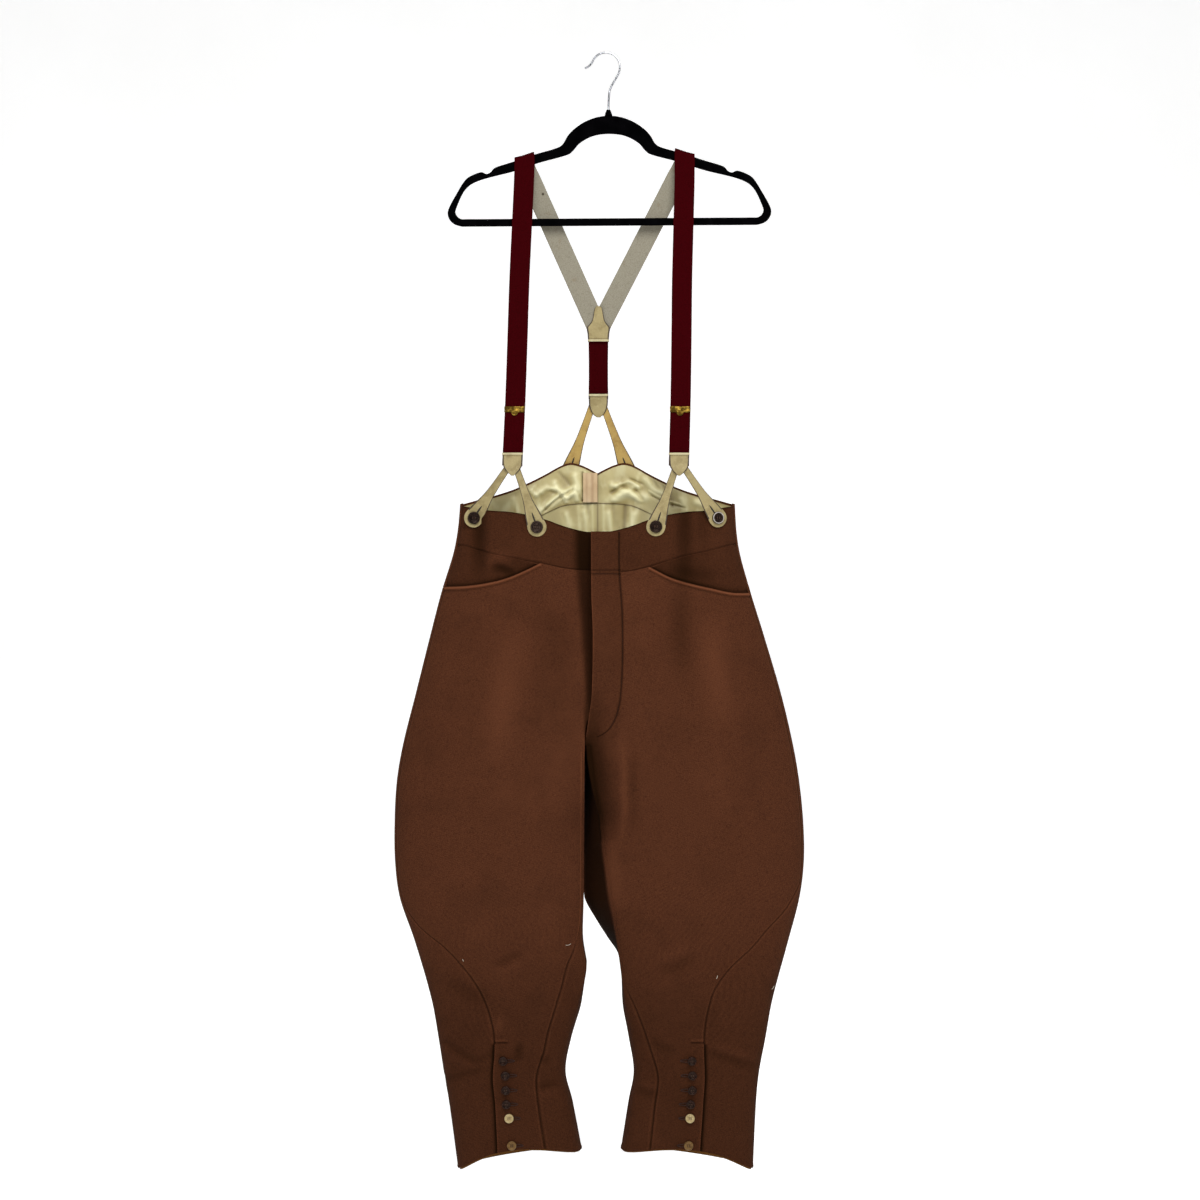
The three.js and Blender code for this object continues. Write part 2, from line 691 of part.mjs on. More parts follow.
function backTopRows(half, drop) {
  const tops = backWalks(half, REFERENCE.backTop).map((walk) => backTopZ(half, walk, drop));
  return Array.from({ length: TOP_ROWS }, (_, row) => tops.map((top, column) => {
    const z = mix(top, LEVELS[0], row / TOP_ROWS);
    return { z, walk: backWalks(half, z)[column] };
  }));
}

function backNet(half) {
  const middle = LEVELS.map((z) => backWalks(half, z).map((walk) => ({ z, walk })));
  const hem = backWalks(half, HEM[0].front).map((place, column) => {
    const z = hemZ(place);
    return { z, walk: backWalks(half, z)[column] };
  });
  return [...backTopRows(half, 0), ...middle, hem];
}

for (const half of [RIGHT, LEFT]) {
  const name = half.name;
  const forkRow = TOP_ROWS + LEVELS.indexOf(FORK_Z);
  add(`${name}_front`, cloth(half, frontNet(half)), 'twill');
  const isThere = (row, column) => row >= forkRow || column < TRUNK_COLUMNS;
  add(`${name}_back`, cloth(half, backNet(half), { isThere }), 'twill');

  // The waistband ends flush with the fly's edge on the left and passes under it on the right.
  const bandRows = [0, 0.5, 1].map((down) => frontParts.map((part) => {
    const z = mix(waistTopZ(half, part), waistSeamZ(half, part), down);
    return { z, walk: frontWalk(half, z, part) };
  }));
  add(`${name}_waistband`, cloth(half, bandRows), 'twill');

  // The pocket facing lies behind both the waistband and the pocket's mouth.
  const pocketParts = frontParts.slice(POCKET_FIRST_COLUMN);
  const facingNet = [0, 0.5, 1].map((down) => pocketParts.map((part) => {
    const top = waistSeamZ(half, part) + POCKET_TUCK.up;
    const z = mix(top, mouthZ(half, part) - POCKET_TUCK.down, down);
    return { z, walk: frontWalk(half, z, part) };
  }));
  add(`${name}_pocket_facing`, cloth(half, facingNet, { inset: CLOTH + LAYER_GAP }), 'twill');

  // Inside the calf opening, the strip that carries the buttons
  const standParts = frontParts.slice(BUTTON_STAND.firstColumn);
  const standNet = LEVELS.slice(-BUTTON_STAND.rows).map((z) => standParts.map((part) => (
    { z, walk: frontWalk(half, z, part) }
  )));
  add(`${name}_button_stand`, cloth(half, standNet, { inset: CLOTH + GAP }), 'twill');

  // The facing runs round inside the hem, from the inside leg seam all the way back to it.
  const ringWalks = (z) => {
    const front = frontParts.map((part) => frontWalk(half, z, part));
    const back = backWalks(half, z);
    back[back.length - 1] -= HEM_FACING.opening;
    return [...front, ...back];
  };
  const hemNet = [HEM_FACING.below, HEM_FACING.above].map((rise) => (
    ringWalks(HEM[0].front).map((place, column) => {
      const z = hemZ(place) + rise;
      return { z, walk: ringWalks(z)[column] };
    })
  ));
  const hemFacing = cloth(half, hemNet, { inset: CLOTH + GAP, thickness: LINING });
  add(`${name}_hem_facing`, hemFacing, 'facing');

  // The lining of the back, and the waist curtain that lies on it
  const firstBack = WRAP_STEPS.length - 1;
  const liningRows = backTopRows(half, WAIST_LINING_DROP);
  const liningNet = liningRows.map((row) => row.slice(firstBack, TRUNK_COLUMNS + 1));
  const lining = cloth(half, liningNet, { inset: CLOTH + GAP, thickness: LINING });
  add(`${name}_lining`, lining, 'lining');
  const curtainNet = [0, 0.5, 1].map((down) => liningNet[0].map(({ walk }) => {
    const across = acrossBack(half, 2 - walk, REFERENCE.backTop);
    const top = read(BACK_TOP, 'across', 'z', across) - WAIST_LINING_DROP - CURTAIN_DROP;
    return { z: mix(top, read(CURTAIN_SEAM, 'across', 'z', across), down), walk };
  }));
  const curtainInset = CLOTH + GAP + LINING + LAYER_GAP;
  const curtain = cloth(half, curtainNet, { inset: curtainInset, thickness: LINING });
  add(`${name}_waist_curtain`, curtain, 'lining');
}

// The pinkish strip beside the centre back seam, on the right half's curtain
const stripNet = [0, 0.5, 1].map((down) => [0, 0.5, 1].map((over) => {
  const z = mix(STRIP.top, STRIP.bottom, down);
  const level = section(RIGHT, z);
  return { z, walk: 2 - (over * STRIP.width) / Math.abs(level.side - level.backEdge) };
}));
const stripInset = CLOTH + GAP + 2 * (LINING + LAYER_GAP);
add('centre_back_strip', cloth(RIGHT, stripNet, { inset: stripInset, thickness: LINING }), 'strip');

// The fly: a doubled strip over the left front and its waistband
const flyTop = [waistTopZ(LEFT, 0), FLY.bandMiddle, waistSeamZ(LEFT, 0)];
const flyLevels = [...flyTop, ...FLY.levels, FLY.bottom];
const flyNet = flyLevels.map((z) => FLY.steps.map((over) => {
  const level = section(LEFT, z);
  const width = read(FLY_LINE, 'z', 'x', z) - level.frontEdge;
  return { z, walk: (over * width) / (level.side - level.frontEdge) };
}));
add('fly', cloth(LEFT, flyNet, { thickness: FLY.cloth, inset: -GAP - FLY.cloth }), 'twill');

// A place on a half's front by its x and level, with the direction out of the cloth there
function onFront(half, x, z) {
  const level = section(half, z);
  const part = (x - level.frontEdge) / (level.side - level.frontEdge);
  const { y } = facePoint(half, 'front', z, part);
  const normal = walkNormal(half, z, part);
  return { point: new THREE.Vector3(x, y, z), out: new THREE.Vector3(normal.x, normal.y, 0) };
}

function onBack(half, x, z) {
  const level = section(half, z);
  const part = (x - level.backEdge) / (level.side - level.backEdge);
  const { y } = facePoint(half, 'back', z, part);
  const normal = walkNormal(half, z, 2 - part);
  return { point: new THREE.Vector3(x, y, z), out: new THREE.Vector3(normal.x, normal.y, 0) };
}

// A button with a raised rim and a sunk middle, standing on its axis
function button({ radius, height, rim }) {
  const profile = [
    new THREE.Vector2(0, 0),
    new THREE.Vector2(radius, 0),
    new THREE.Vector2(radius, height * BUTTON_SHAPE.sunk),
    new THREE.Vector2(radius - rim / 2, height),
    new THREE.Vector2(radius - rim * BUTTON_SHAPE.rimFoot, height * BUTTON_SHAPE.sunk),
    new THREE.Vector2(0, height * BUTTON_SHAPE.sunk),
  ];
  return new THREE.LatheGeometry(profile, BUTTON_SHAPE.sides);
}

function placeButton(name, size, place, lift, finish) {
  const mesh = add(name, button(size), finish);
  mesh.position.copy(place.point).addScaledVector(place.out, lift);
  mesh.quaternion.setFromUnitVectors(new THREE.Vector3(0, 1, 0), place.out);
  return mesh;
}

const BUTTON_FINISH = { horn: 'horn', cream: 'creamButton', tan: 'tanButton' };
for (const half of [RIGHT, LEFT]) {
  CALF_BUTTONS.forEach((row, index) => {
    const place = onFront(half, row[half.name], row.z);
    const name = `${half.name}_calf_button_${index + 1}`;
    placeButton(name, CALF_BUTTON, place, CALF_BUTTON.standOff, BUTTON_FINISH[row.slot]);
  });
}

// A flat strip of webbing or leather: rows of centre, half width and the direction across it, laid
// between two faces. The face's direction is square to the strip and to its run.
function strip(rows, thickness) {
  const last = rows.length - 1;
  const faces = [0.5, -0.5].map((side) => rows.map((row, index) => {
    const run = new THREE.Vector3().copy(rows[Math.min(index + 1, last)].centre);
    run.sub(rows[Math.max(index - 1, 0)].centre).normalize();
    const across = row.across.clone().addScaledVector(run, -run.dot(row.across)).normalize();
    const out = new THREE.Vector3().crossVectors(across, run).normalize();
    return [-1, 0, 1].map((edge) => row.centre.clone()
      .addScaledVector(across, edge * row.half)
      .addScaledVector(out, side * thickness));
  }));
  return wall(faces[0], faces[1], () => true);
}

const ACROSS = new THREE.Vector3(1, 0, 0);

// Where the braces hang: in front they run from the hanger out to the waist, and so they do behind
function frontY(z) {
  const part = (BRACE.topZ - z) / (BRACE.topZ - BRACE.frontEndZ);
  return -mix(BRACE.hangerY, BRACE.frontEndY, Math.max(part, 0));
}

function backY(z) {
  const part = (BRACE.topZ - z) / (BRACE.topZ - BRACE.backEndZ);
  return mix(BRACE.hangerY, BRACE.backEndY, Math.max(part, 0));
}

function shoulderZ(x) {
  const local = Math.abs(x - HANGER.x);
  return read(HANGER_OUTER, 'x', 'z', local) + Math.tan(HANGER.tilt) * x;
}

// A strap: up its front, over the hanger's shoulder, and down behind it towards the yoke
function strap({ topX, endX, backX, layer }) {
  const lean = Math.sign(HANGER.x - topX) * Math.atan(HANGER.shoulderSlope);
  const over = shoulderZ(topX) + BRACE.rise;
  const slope = (BRACE.backEndY - BRACE.hangerY) / (BRACE.topZ - BRACE.backEndZ);
  const leaning = (part, outward = 0) => new THREE.Vector3(
    Math.cos(lean * part),
    -outward * slope * Math.sin(lean * part),
    Math.sin(lean * part),
  );
  const rows = [];
  for (const step of STRAP_FRONT_STEPS) {
    const z = mix(BRACE.topZ, BRACE.frontEndZ, step);
    const centre = new THREE.Vector3(mix(topX, endX, step), frontY(z), z);
    rows.push({ centre, half: BRACE.halfWidth, across: leaning(0) });
  }
  for (const { y, drop, part } of STRAP_OVER) {
    const centre = new THREE.Vector3(topX, y * BRACE.hangerY, over - drop);
    rows.push({ centre, half: BRACE.halfWidth, across: leaning(part) });
  }
  const backTop = over - STRAP_OVER.at(-1).drop;
  for (const step of STRAP_BACK_STEPS) {
    const z = mix(backTop, STRAP_BACK_END_Z, step);
    const y = backY(z) + layer * smooth(step * BRACE.layerRun);
    const centre = new THREE.Vector3(mix(topX, backX, step), y, z);
    rows.push({ centre, half: BRACE.halfWidth, across: leaning(BRACE.backTurn, 1) });
  }
  return strip(rows, WEBBING);
}

for (const row of STRAPS) add(row.name, strap(row), 'burgundy');

// Flat pieces that hang in the line of the braces, given by a table of levels and half widths
function hanging(table, x, yAt) {
  const rows = table.map(({ z, half }) => ({
    centre: new THREE.Vector3(x, yAt(z), z), half, across: ACROSS,
  }));
  return strip(rows, LEATHER);
}

const behind = WEBBING + GAP + LEATHER; // from the middle of the elastic to past its leather
const yokeOut = behind / 2 + YOKE_SPREAD;
add('yoke_inner', hanging(YOKE, BACK_X, (z) => backY(z) - yokeOut), 'leather');
add('yoke_outer', hanging(YOKE, BACK_X, (z) => backY(z) + yokeOut), 'leather');
const elasticRows = ELASTIC.levels.map((z) => ({
  centre: new THREE.Vector3(BACK_X, backY(z), z), half: ELASTIC.half, across: ACROSS,
}));
add('back_elastic', strip(elasticRows, WEBBING), 'burgundy');
const shieldOut = WEBBING / 2 + GAP + LEATHER / 2;
add('back_shield_inner', hanging(BACK_SHIELD, BACK_X, (z) => backY(z) - shieldOut), 'leather');
add('back_shield_outer', hanging(BACK_SHIELD, BACK_X, (z) => backY(z) + shieldOut), 'leather');

// A tab, narrow under its shield and round where it buttons on
function tab(start, place, standOff) {
  const end = place.point.clone().addScaledVector(place.out, standOff + LEATHER / 2);
  const reach = end.clone().sub(start);
  const along = reach.clone().normalize();
  const shieldFace = new THREE.Vector3(0, Math.sign(place.out.y), 0);
  const rowAt = (centre, half, turn) => {
    const face = shieldFace.clone().lerp(place.out, turn).normalize();
    return { centre, half, across: new THREE.Vector3().crossVectors(face, along).normalize() };
  };
  const rows = TAB_OUTLINE.map((row) => (
    rowAt(start.clone().addScaledVector(reach, row.along), row.half, row.along)
  ));
  const lie = along.clone().addScaledVector(place.out, -along.dot(place.out)).normalize();
  for (const row of TAB_END) {
    rows.push(rowAt(end.clone().addScaledVector(lie, row.beyond), row.half, 1));
  }
  return { geometry: strip(rows, LEATHER), end };
}

for (const row of TABS) {
  const start = new THREE.Vector3(row.startX, frontY(TAB_START_Z), TAB_START_Z);
  const place = onFront(row.half, row.x, row.z);
  const { geometry, end } = tab(start, place, row.standOff);
  add(row.name, geometry, 'leather');
  const lift = LEATHER / 2 + BRACE_BUTTON.standOff;
  placeButton(`${row.name}_button`, BRACE_BUTTON, { point: end, out: place.out }, lift, 'horn');
}

for (const row of BACK_TABS) {
  const start = new THREE.Vector3(row.startX, backY(BACK_TAB_START_Z), BACK_TAB_START_Z);
  const place = onBack(row.half, row.x, row.z);
  const { geometry, end } = tab(start, place, BACK_TAB_STAND_OFF);
  add(row.name, geometry, 'tan');
  const lift = LEATHER / 2 + BRACE_BUTTON.standOff;
  placeButton(`${row.name}_button`, BRACE_BUTTON, { point: end, out: place.out }, lift, 'horn');
}

for (const row of STRAPS) {
  const side = row.name.startsWith('right') ? 'right' : 'left';
  const place = (z) => mix(row.topX, row.endX, (BRACE.topZ - z) / (BRACE.topZ - BRACE.frontEndZ));
  const shieldX = place(FRONT_SHIELD[1].z);
  const shieldY = (z) => frontY(z) - shieldOut;
  add(`${side}_front_shield`, hanging(FRONT_SHIELD, shieldX, shieldY), 'leather');

  // The adjuster's plate grips the strap, and its catch hangs below as a small round tab.
  const outline = new THREE.Shape();
  outline.moveTo(-ADJUSTER.width / 2, ADJUSTER.height / 2);
  outline.lineTo(-ADJUSTER.width / 2, -ADJUSTER.height / 2);
  outline.lineTo(-ADJUSTER.tabRadius, -ADJUSTER.height / 2);
  outline.absarc(0, -ADJUSTER.height / 2, ADJUSTER.tabRadius, Math.PI, 2 * Math.PI, false);
  outline.lineTo(ADJUSTER.width / 2, -ADJUSTER.height / 2);
  outline.lineTo(ADJUSTER.width / 2, ADJUSTER.height / 2);
  const settings = { depth: ADJUSTER.thickness, bevelEnabled: false, curveSegments: 8 };
  const plate = add(`${side}_adjuster`, new THREE.ExtrudeGeometry(outline, settings), 'brass');
  plate.rotation.x = Math.PI / 2 + Math.atan2(frontY(ADJUSTER.z - 1) - frontY(ADJUSTER.z), 1);
  const plateY = frontY(ADJUSTER.z) - WEBBING / 2 - GAP - ADJUSTER.standOff;
  plate.position.set(place(ADJUSTER.z), plateY, ADJUSTER.z);
}

// The hanger's outline, mirrored about its middle
function mirrored(table) {
  const right = table.map(({ x, z }) => new THREE.Vector2(x, z));
  const left = table.slice(1).map(({ x, z }) => new THREE.Vector2(-x, z)).reverse();
  return [...right, ...left];
}

const hangerShape = new THREE.Shape(mirrored(HANGER_OUTER));
hangerShape.holes.push(new THREE.Path(mirrored(HANGER_INNER).reverse()));
const hangerSettings = { depth: HANGER.thickness, bevelEnabled: false };
const hangerBody = new THREE.ExtrudeGeometry(hangerShape, hangerSettings);
hangerBody.translate(HANGER.x, 0, -HANGER.thickness / 2);
hangerBody.rotateX(Math.PI / 2);
const hanger = add('hanger', hangerBody, 'flock');
hanger.rotation.y = -HANGER.tilt;

const hookPoints = HOOK_LINE.map(({ x, z }) => new THREE.Vector3(x, 0, z));
const hookSettings = {
  steps: HOOK.steps,
  bevelEnabled: false,
  extrudePath: new THREE.CatmullRomCurve3(hookPoints, false, 'centripetal'),
};
const wireSection = new THREE.Shape();
for (let side = 0; side < HOOK.sides; side += 1) {
  const angle = (2 * Math.PI * side) / HOOK.sides;
  const method = side === 0 ? 'moveTo' : 'lineTo';
  wireSection[method](HOOK.wire * Math.cos(angle), HOOK.wire * Math.sin(angle));
}
add('hook', new THREE.ExtrudeGeometry(wireSection, hookSettings), 'chrome');

const collarProfile = [
  new THREE.Vector2(COLLAR.inner, 0),
  new THREE.Vector2(COLLAR.base, 0),
  new THREE.Vector2(COLLAR.top, COLLAR.height),
  new THREE.Vector2(COLLAR.inner, COLLAR.height),
  new THREE.Vector2(COLLAR.inner, 0),
];
const collar = add('hook_collar', new THREE.LatheGeometry(collarProfile, COLLAR.sides), 'flock');
collar.rotation.x = Math.PI / 2;
collar.position.set(HANGER.x, 0, HANGER_OUTER[0].z + GAP);

export default garment;
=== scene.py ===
import math
import bmesh
import bpy
import numpy as np
from collections import namedtuple
from mathutils import Matrix, Vector
from mathutils.geometry import tessellate_polygon


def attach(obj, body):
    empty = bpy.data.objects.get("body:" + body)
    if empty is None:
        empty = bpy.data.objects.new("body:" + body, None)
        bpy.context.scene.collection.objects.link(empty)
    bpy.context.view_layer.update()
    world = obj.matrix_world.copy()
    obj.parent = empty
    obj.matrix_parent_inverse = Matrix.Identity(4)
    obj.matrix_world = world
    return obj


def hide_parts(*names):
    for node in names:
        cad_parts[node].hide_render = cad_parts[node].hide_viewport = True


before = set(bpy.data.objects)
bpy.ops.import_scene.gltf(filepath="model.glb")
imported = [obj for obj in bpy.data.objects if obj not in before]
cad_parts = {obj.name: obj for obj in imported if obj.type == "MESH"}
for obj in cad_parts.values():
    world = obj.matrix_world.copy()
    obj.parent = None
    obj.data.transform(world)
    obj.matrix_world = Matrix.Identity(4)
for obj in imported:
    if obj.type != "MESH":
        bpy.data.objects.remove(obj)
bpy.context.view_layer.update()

# ---- Fronts and backs ----
# Each leg is cut from a heavy milled wool twill: a front that ends at the waist seam and the
# pocket's mouth, and a wide back that rises to the fishtail, swells over the thigh and wraps
# round the calf. Seams are pressed open, so each one shows as a fine dipped line, with painted
# shade in the line and painted highlight on its edges.
MM = 0.001
CLOTH = 1.5
GAP = 0.3
CENTRE_X = -11.6
FORK_Z = -950
FLATNESS = 2.6
INNER_ROUND = 0.95
INNER_ROUND_DROP = 110
SIDE_SEAM = 0.985
Half = namedtuple("Half", "name sign")
RIGHT = Half("right", -1)
LEFT = Half("left", 1)


def table(columns, *rows):
    values = np.array(rows, float)
    return {name: values[:, index] for index, name in enumerate(columns.split())}


SIDES = table(
    "at right left",
    (-560, -200, 177), (-625, -201, 177.5), (-680, -208, 182.5), (-740, -226, 198.5),
    (-800, -241.5, 217), (-880, -261.5, 240.5), (-950, -279, 257), (-1000, -287.5, 265.5),
    (-1055, -290.5, 271), (-1110, -290, 272), (-1160, -283.5, 266), (-1220, -263, 250.5),
    (-1300, -240, 229), (-1355, -230, 219), (-1400, -223, 210.5), (-1440, -216, 206.5),
    (-1535, -203, 202),
)
FRONT_EDGES = table(
    "at right left",
    (-560, 14, -20.5), (-740, 14, -20), (-800, 14, -18), (-880, 0, -19.5), (-915, -25, -24),
    (-950, -28.7, -28.1), (-1000, -29.3, -22.5), (-1055, -29.8, -11), (-1110, -30.3, -0.5),
    (-1160, -30.5, 6), (-1220, -31.5, 15), (-1255, -26.5, 19.5), (-1300, -36.5, 26),
    (-1355, -53, 36.5), (-1400, -60.5, 43), (-1440, -51, 36), (-1535, -33, 21),
)
BACK_EDGES = table(
    "at right left",
    (-560, -11.6, -11.6), (-680, -11.6, -11.6), (-740, -13, -13), (-800, -17, -17),
    (-880, -24, -24), (-915, -27.2, -27.2), (-950, -30.7, -30.2), (-1000, -31.3, -30.5),
    (-1055, -31.7, -30.9), (-1110, -32, -31.1), (-1150, -32, -31.1), (-1168, -32, -28.4),
    (-1195, -32, -13),
    (-1220, -31.5, 3), (-1240, -28.5, 16.5), (-1255, -26.5, 19.3), (-1300, -36.5, 26),
    (-1355, -53, 36.5), (-1400, -60.5, 43), (-1440, -51, 36), (-1535, -33, 21),
)
DEPTHS = table(
    "at front back",
    (-560, 39, 41), (-625, 40, 43), (-680, 43, 45), (-740, 46, 49), (-800, 48, 52),
    (-880, 50, 55), (-1000, 50, 54), (-1055, 50, 52), (-1110, 48, 50), (-1160, 46, 47),
    (-1220, 42, 43), (-1300, 37, 38), (-1355, 34, 35), (-1400, 33, 34), (-1535, 34, 35),
)
WAIST_TOP = table(
    "at z",
    (0, -659), (16, -659), (36, -654.5), (52, -649.5), (68, -643.5), (97, -636), (121, -632),
    (148, -630), (172, -626), (190, -623),
)
BACK_TOP = table(
    "at z",
    (0, -575.5), (8, -571), (22, -564.5), (37, -561), (51, -565), (70, -575.5), (91, -586.5),
    (111, -596), (140, -606), (165, -613), (190, -621),
)
WAIST_SEAM = table(
    "at right left",
    (0, -712, -712), (35, -710, -713.5), (60, -705.5, -709), (84, -700, -701.5), (120, -693, -691),
    (150, -687, -685), (190, -676, -675),
)
POCKET_MOUTH = table(
    "at right left",
    (60, -690, -700), (80, -701, -711), (100, -711.5, -721.5), (125, -722.5, -729.5),
    (150, -729, -735.5), (180, -733, -742), (212, -734, -742),
)
HEM = table(
    "at front back",
    (0, -1506, -1506), (0.3, -1499.5, -1513), (0.55, -1501.5, -1519), (0.77, -1511, -1525),
    (1, -1531.5, -1531.5),
)
CURTAIN_SEAM = table(
    "at z", (0, -617.5), (45, -620.5), (75, -633), (110, -650), (190, -684),
)
LEG_SEAMS = table(
    "at rightOuter leftOuter rightInner leftInner",
    (-1140, 0.985, 0.985, 0.014, 0.014), (-1175, 0.972, 0.925, 0.015, 0.014),
    (-1200, 0.922, 0.85, 0.022, 0.014), (-1225, 0.817, 0.78, 0.05, 0.014),
    (-1252, 0.738, 0.673, 0.12, 0.015), (-1280, 0.667, 0.595, 0.138, 0.02),
    (-1305, 0.618, 0.563, 0.15, 0.057), (-1340, 0.568, 0.535, 0.163, 0.098),
    (-1370, 0.557, 0.532, 0.168, 0.128), (-1405, 0.58, 0.548, 0.215, 0.168),
    (-1440, 0.605, 0.563, 0.25, 0.179), (-1506, 0.648, 0.574, 0.26, 0.19),
)
# Soft troughs that the hanging cloth has from the waist down, by half and face
FOLDS = [
    ("right", "front", -174, 10, -560, -735, 8), ("left", "front", 107, 10, -560, -735, 7),
    ("left", "front", 132, 8, -560, -700, 3), ("left", "front", 102, 16, -715, -885, 3),
    ("right", "back", -106, 18, -560, -760, 7), ("left", "back", 84, 18, -560, -790, 7),
    ("right", "back", -92, 26, -880, -1170, 6), ("left", "back", 58, 24, -900, -1190, 6),
]
FLY_GROOVE = table(
    "at crest depth",
    (-640, -47, 6), (-700, -45, 12), (-740, -43, 17), (-800, -39, 16), (-850, -34, 12),
    (-895, -30, 7), (-918, -29.4, 3.5), (-950, -29.2, 0),
)

FLY_SHADE = table(
    "at wide", (-640, 30), (-700, 30), (-720, 27), (-759, 22), (-808, 18), (-850, 13), (-890, 10),
    (-930, 6), (-950, 4),
)


def read(rows, column, at):
    """A column of a table at places between its rows, on a smooth curve through them."""
    keys, values, at = rows["at"], rows[column], np.asarray(at, float)
    if keys[-1] < keys[0]:
        keys, at = -keys, -at
    last = len(keys) - 1
    row = np.clip(np.searchsorted(keys, at, side="right") - 1, 0, last - 1)
    before = np.maximum(np.arange(last + 1) - 1, 0)
    after = np.minimum(np.arange(last + 1) + 1, last)
    slopes = (values[after] - values[before]) / (keys[after] - keys[before])
    span = keys[row + 1] - keys[row]
    part = np.clip((at - keys[row]) / span, 0, 1)
    square, cube = part**2, part**3
    bend = (cube - 2 * square + part) * slopes[row] + (cube - square) * slopes[row + 1]
    return mix(values[row], values[row + 1], 3 * square - 2 * cube) + bend * span


def mix(start, end, part):
    return start + (end - start) * part


def smooth(part):
    inside = np.clip(part, 0, 1)
    return inside * inside * (3 - 2 * inside)


def hump(distance):
    return np.exp(-distance * distance)


def troughs(half, face, x, z):
    dip = np.zeros_like(x)
    for name, side_of, middle, width, top, bottom, deep in FOLDS:
        if name == half.name and side_of == face:
            along = np.clip((top - z) / (top - bottom), 0, 1)
            dip += deep * np.sin(np.pi * along) * hump((x - middle) / width)
    return dip


def by_the_fly(x, z):
    """How far the right front dips towards the fly, from 0 to 1"""
    crest, left_edge = read(FLY_GROOVE, "crest", z), read(FRONT_EDGES, "left", z)
    sunk = smooth((x - crest) / np.maximum(left_edge - crest, 1))
    return np.where(z < FORK_Z, 0, sunk)


def face_point(half, face, z, part):
    """A front's or back's x and y at a part of the way from its inner edge (0) to the side (1)."""
    round_ = -INNER_ROUND * smooth((FORK_Z - z) / INNER_ROUND_DROP)
    turned = np.minimum(np.abs(mix(round_, 1, part)), 1)
    depth = (1 - turned**FLATNESS) ** (1 / FLATNESS)
    side = read(SIDES, half.name, z)
    edges = FRONT_EDGES if face == "front" else BACK_EDGES
    edge = read(edges, half.name, z)
    x = mix(edge, side, part)
    dip = troughs(half, face, x, z)
    if face == "front" and half is RIGHT:
        dip = dip + read(FLY_GROOVE, "depth", z) * by_the_fly(x, z)
    y = np.maximum(read(DEPTHS, face, z) * depth - dip, 0)
    return x, -y if face == "front" else y


INNER_BULGE = 5  # the inside of the lower leg swells a little between its two creases


def walk_point(half, z, walk):
    """A level's outline: front inner edge 0, side 1, back inner edge 2, inside of the leg to 3."""
    z, walk = np.broadcast_arrays(np.asarray(z, float), np.asarray(walk, float))
    in_front = np.where(walk >= 3, walk - 3, np.clip(walk, 0, 1))
    front = face_point(half, "front", z, in_front)
    back = face_point(half, "back", z, np.clip(2 - walk, 0, 1))
    ahead = face_point(half, "front", z, np.zeros_like(z))
    behind = face_point(half, "back", z, np.zeros_like(z))
    across = np.clip(walk - 2, 0, 1)
    bulge = INNER_BULGE * smooth((-1260 - z) / 60) * np.sin(np.pi * across)
    inside = [
        mix(behind[0], ahead[0], across) - half.sign * bulge, mix(behind[1], ahead[1], across)
    ]
    cases = [(walk <= 1) | (walk >= 3), walk <= 2]
    x = np.select(cases, [front[0], back[0]], inside[0])
    y = np.select(cases, [front[1], back[1]], inside[1])
    return np.stack([x, y, z], -1)


def walk_normal(half, z, walk):
    """The direction straight out of the cloth, which turns round the leg below the fork"""
    z, walk = np.broadcast_arrays(np.asarray(z, float), np.asarray(walk, float))
    step = 0.004

    def square_to(before, after):
        run = walk_point(half, z, after) - walk_point(half, z, before)
        out = np.stack([half.sign * run[..., 1], -half.sign * run[..., 0], 0 * z], -1)
        return out / np.linalg.norm(out, axis=-1, keepdims=True)

    open_ = square_to(np.maximum(walk - step, 0), np.minimum(walk + step, 2))
    round_ = square_to(np.where(walk < step, walk - step + 3, walk - step), walk + step)
    near = (walk <= 2.001)[..., None]
    normal = np.where(near, mix(open_, round_, smooth((FORK_Z - z) / 30)[..., None]), round_)
    return normal / np.linalg.norm(normal, axis=-1, keepdims=True)


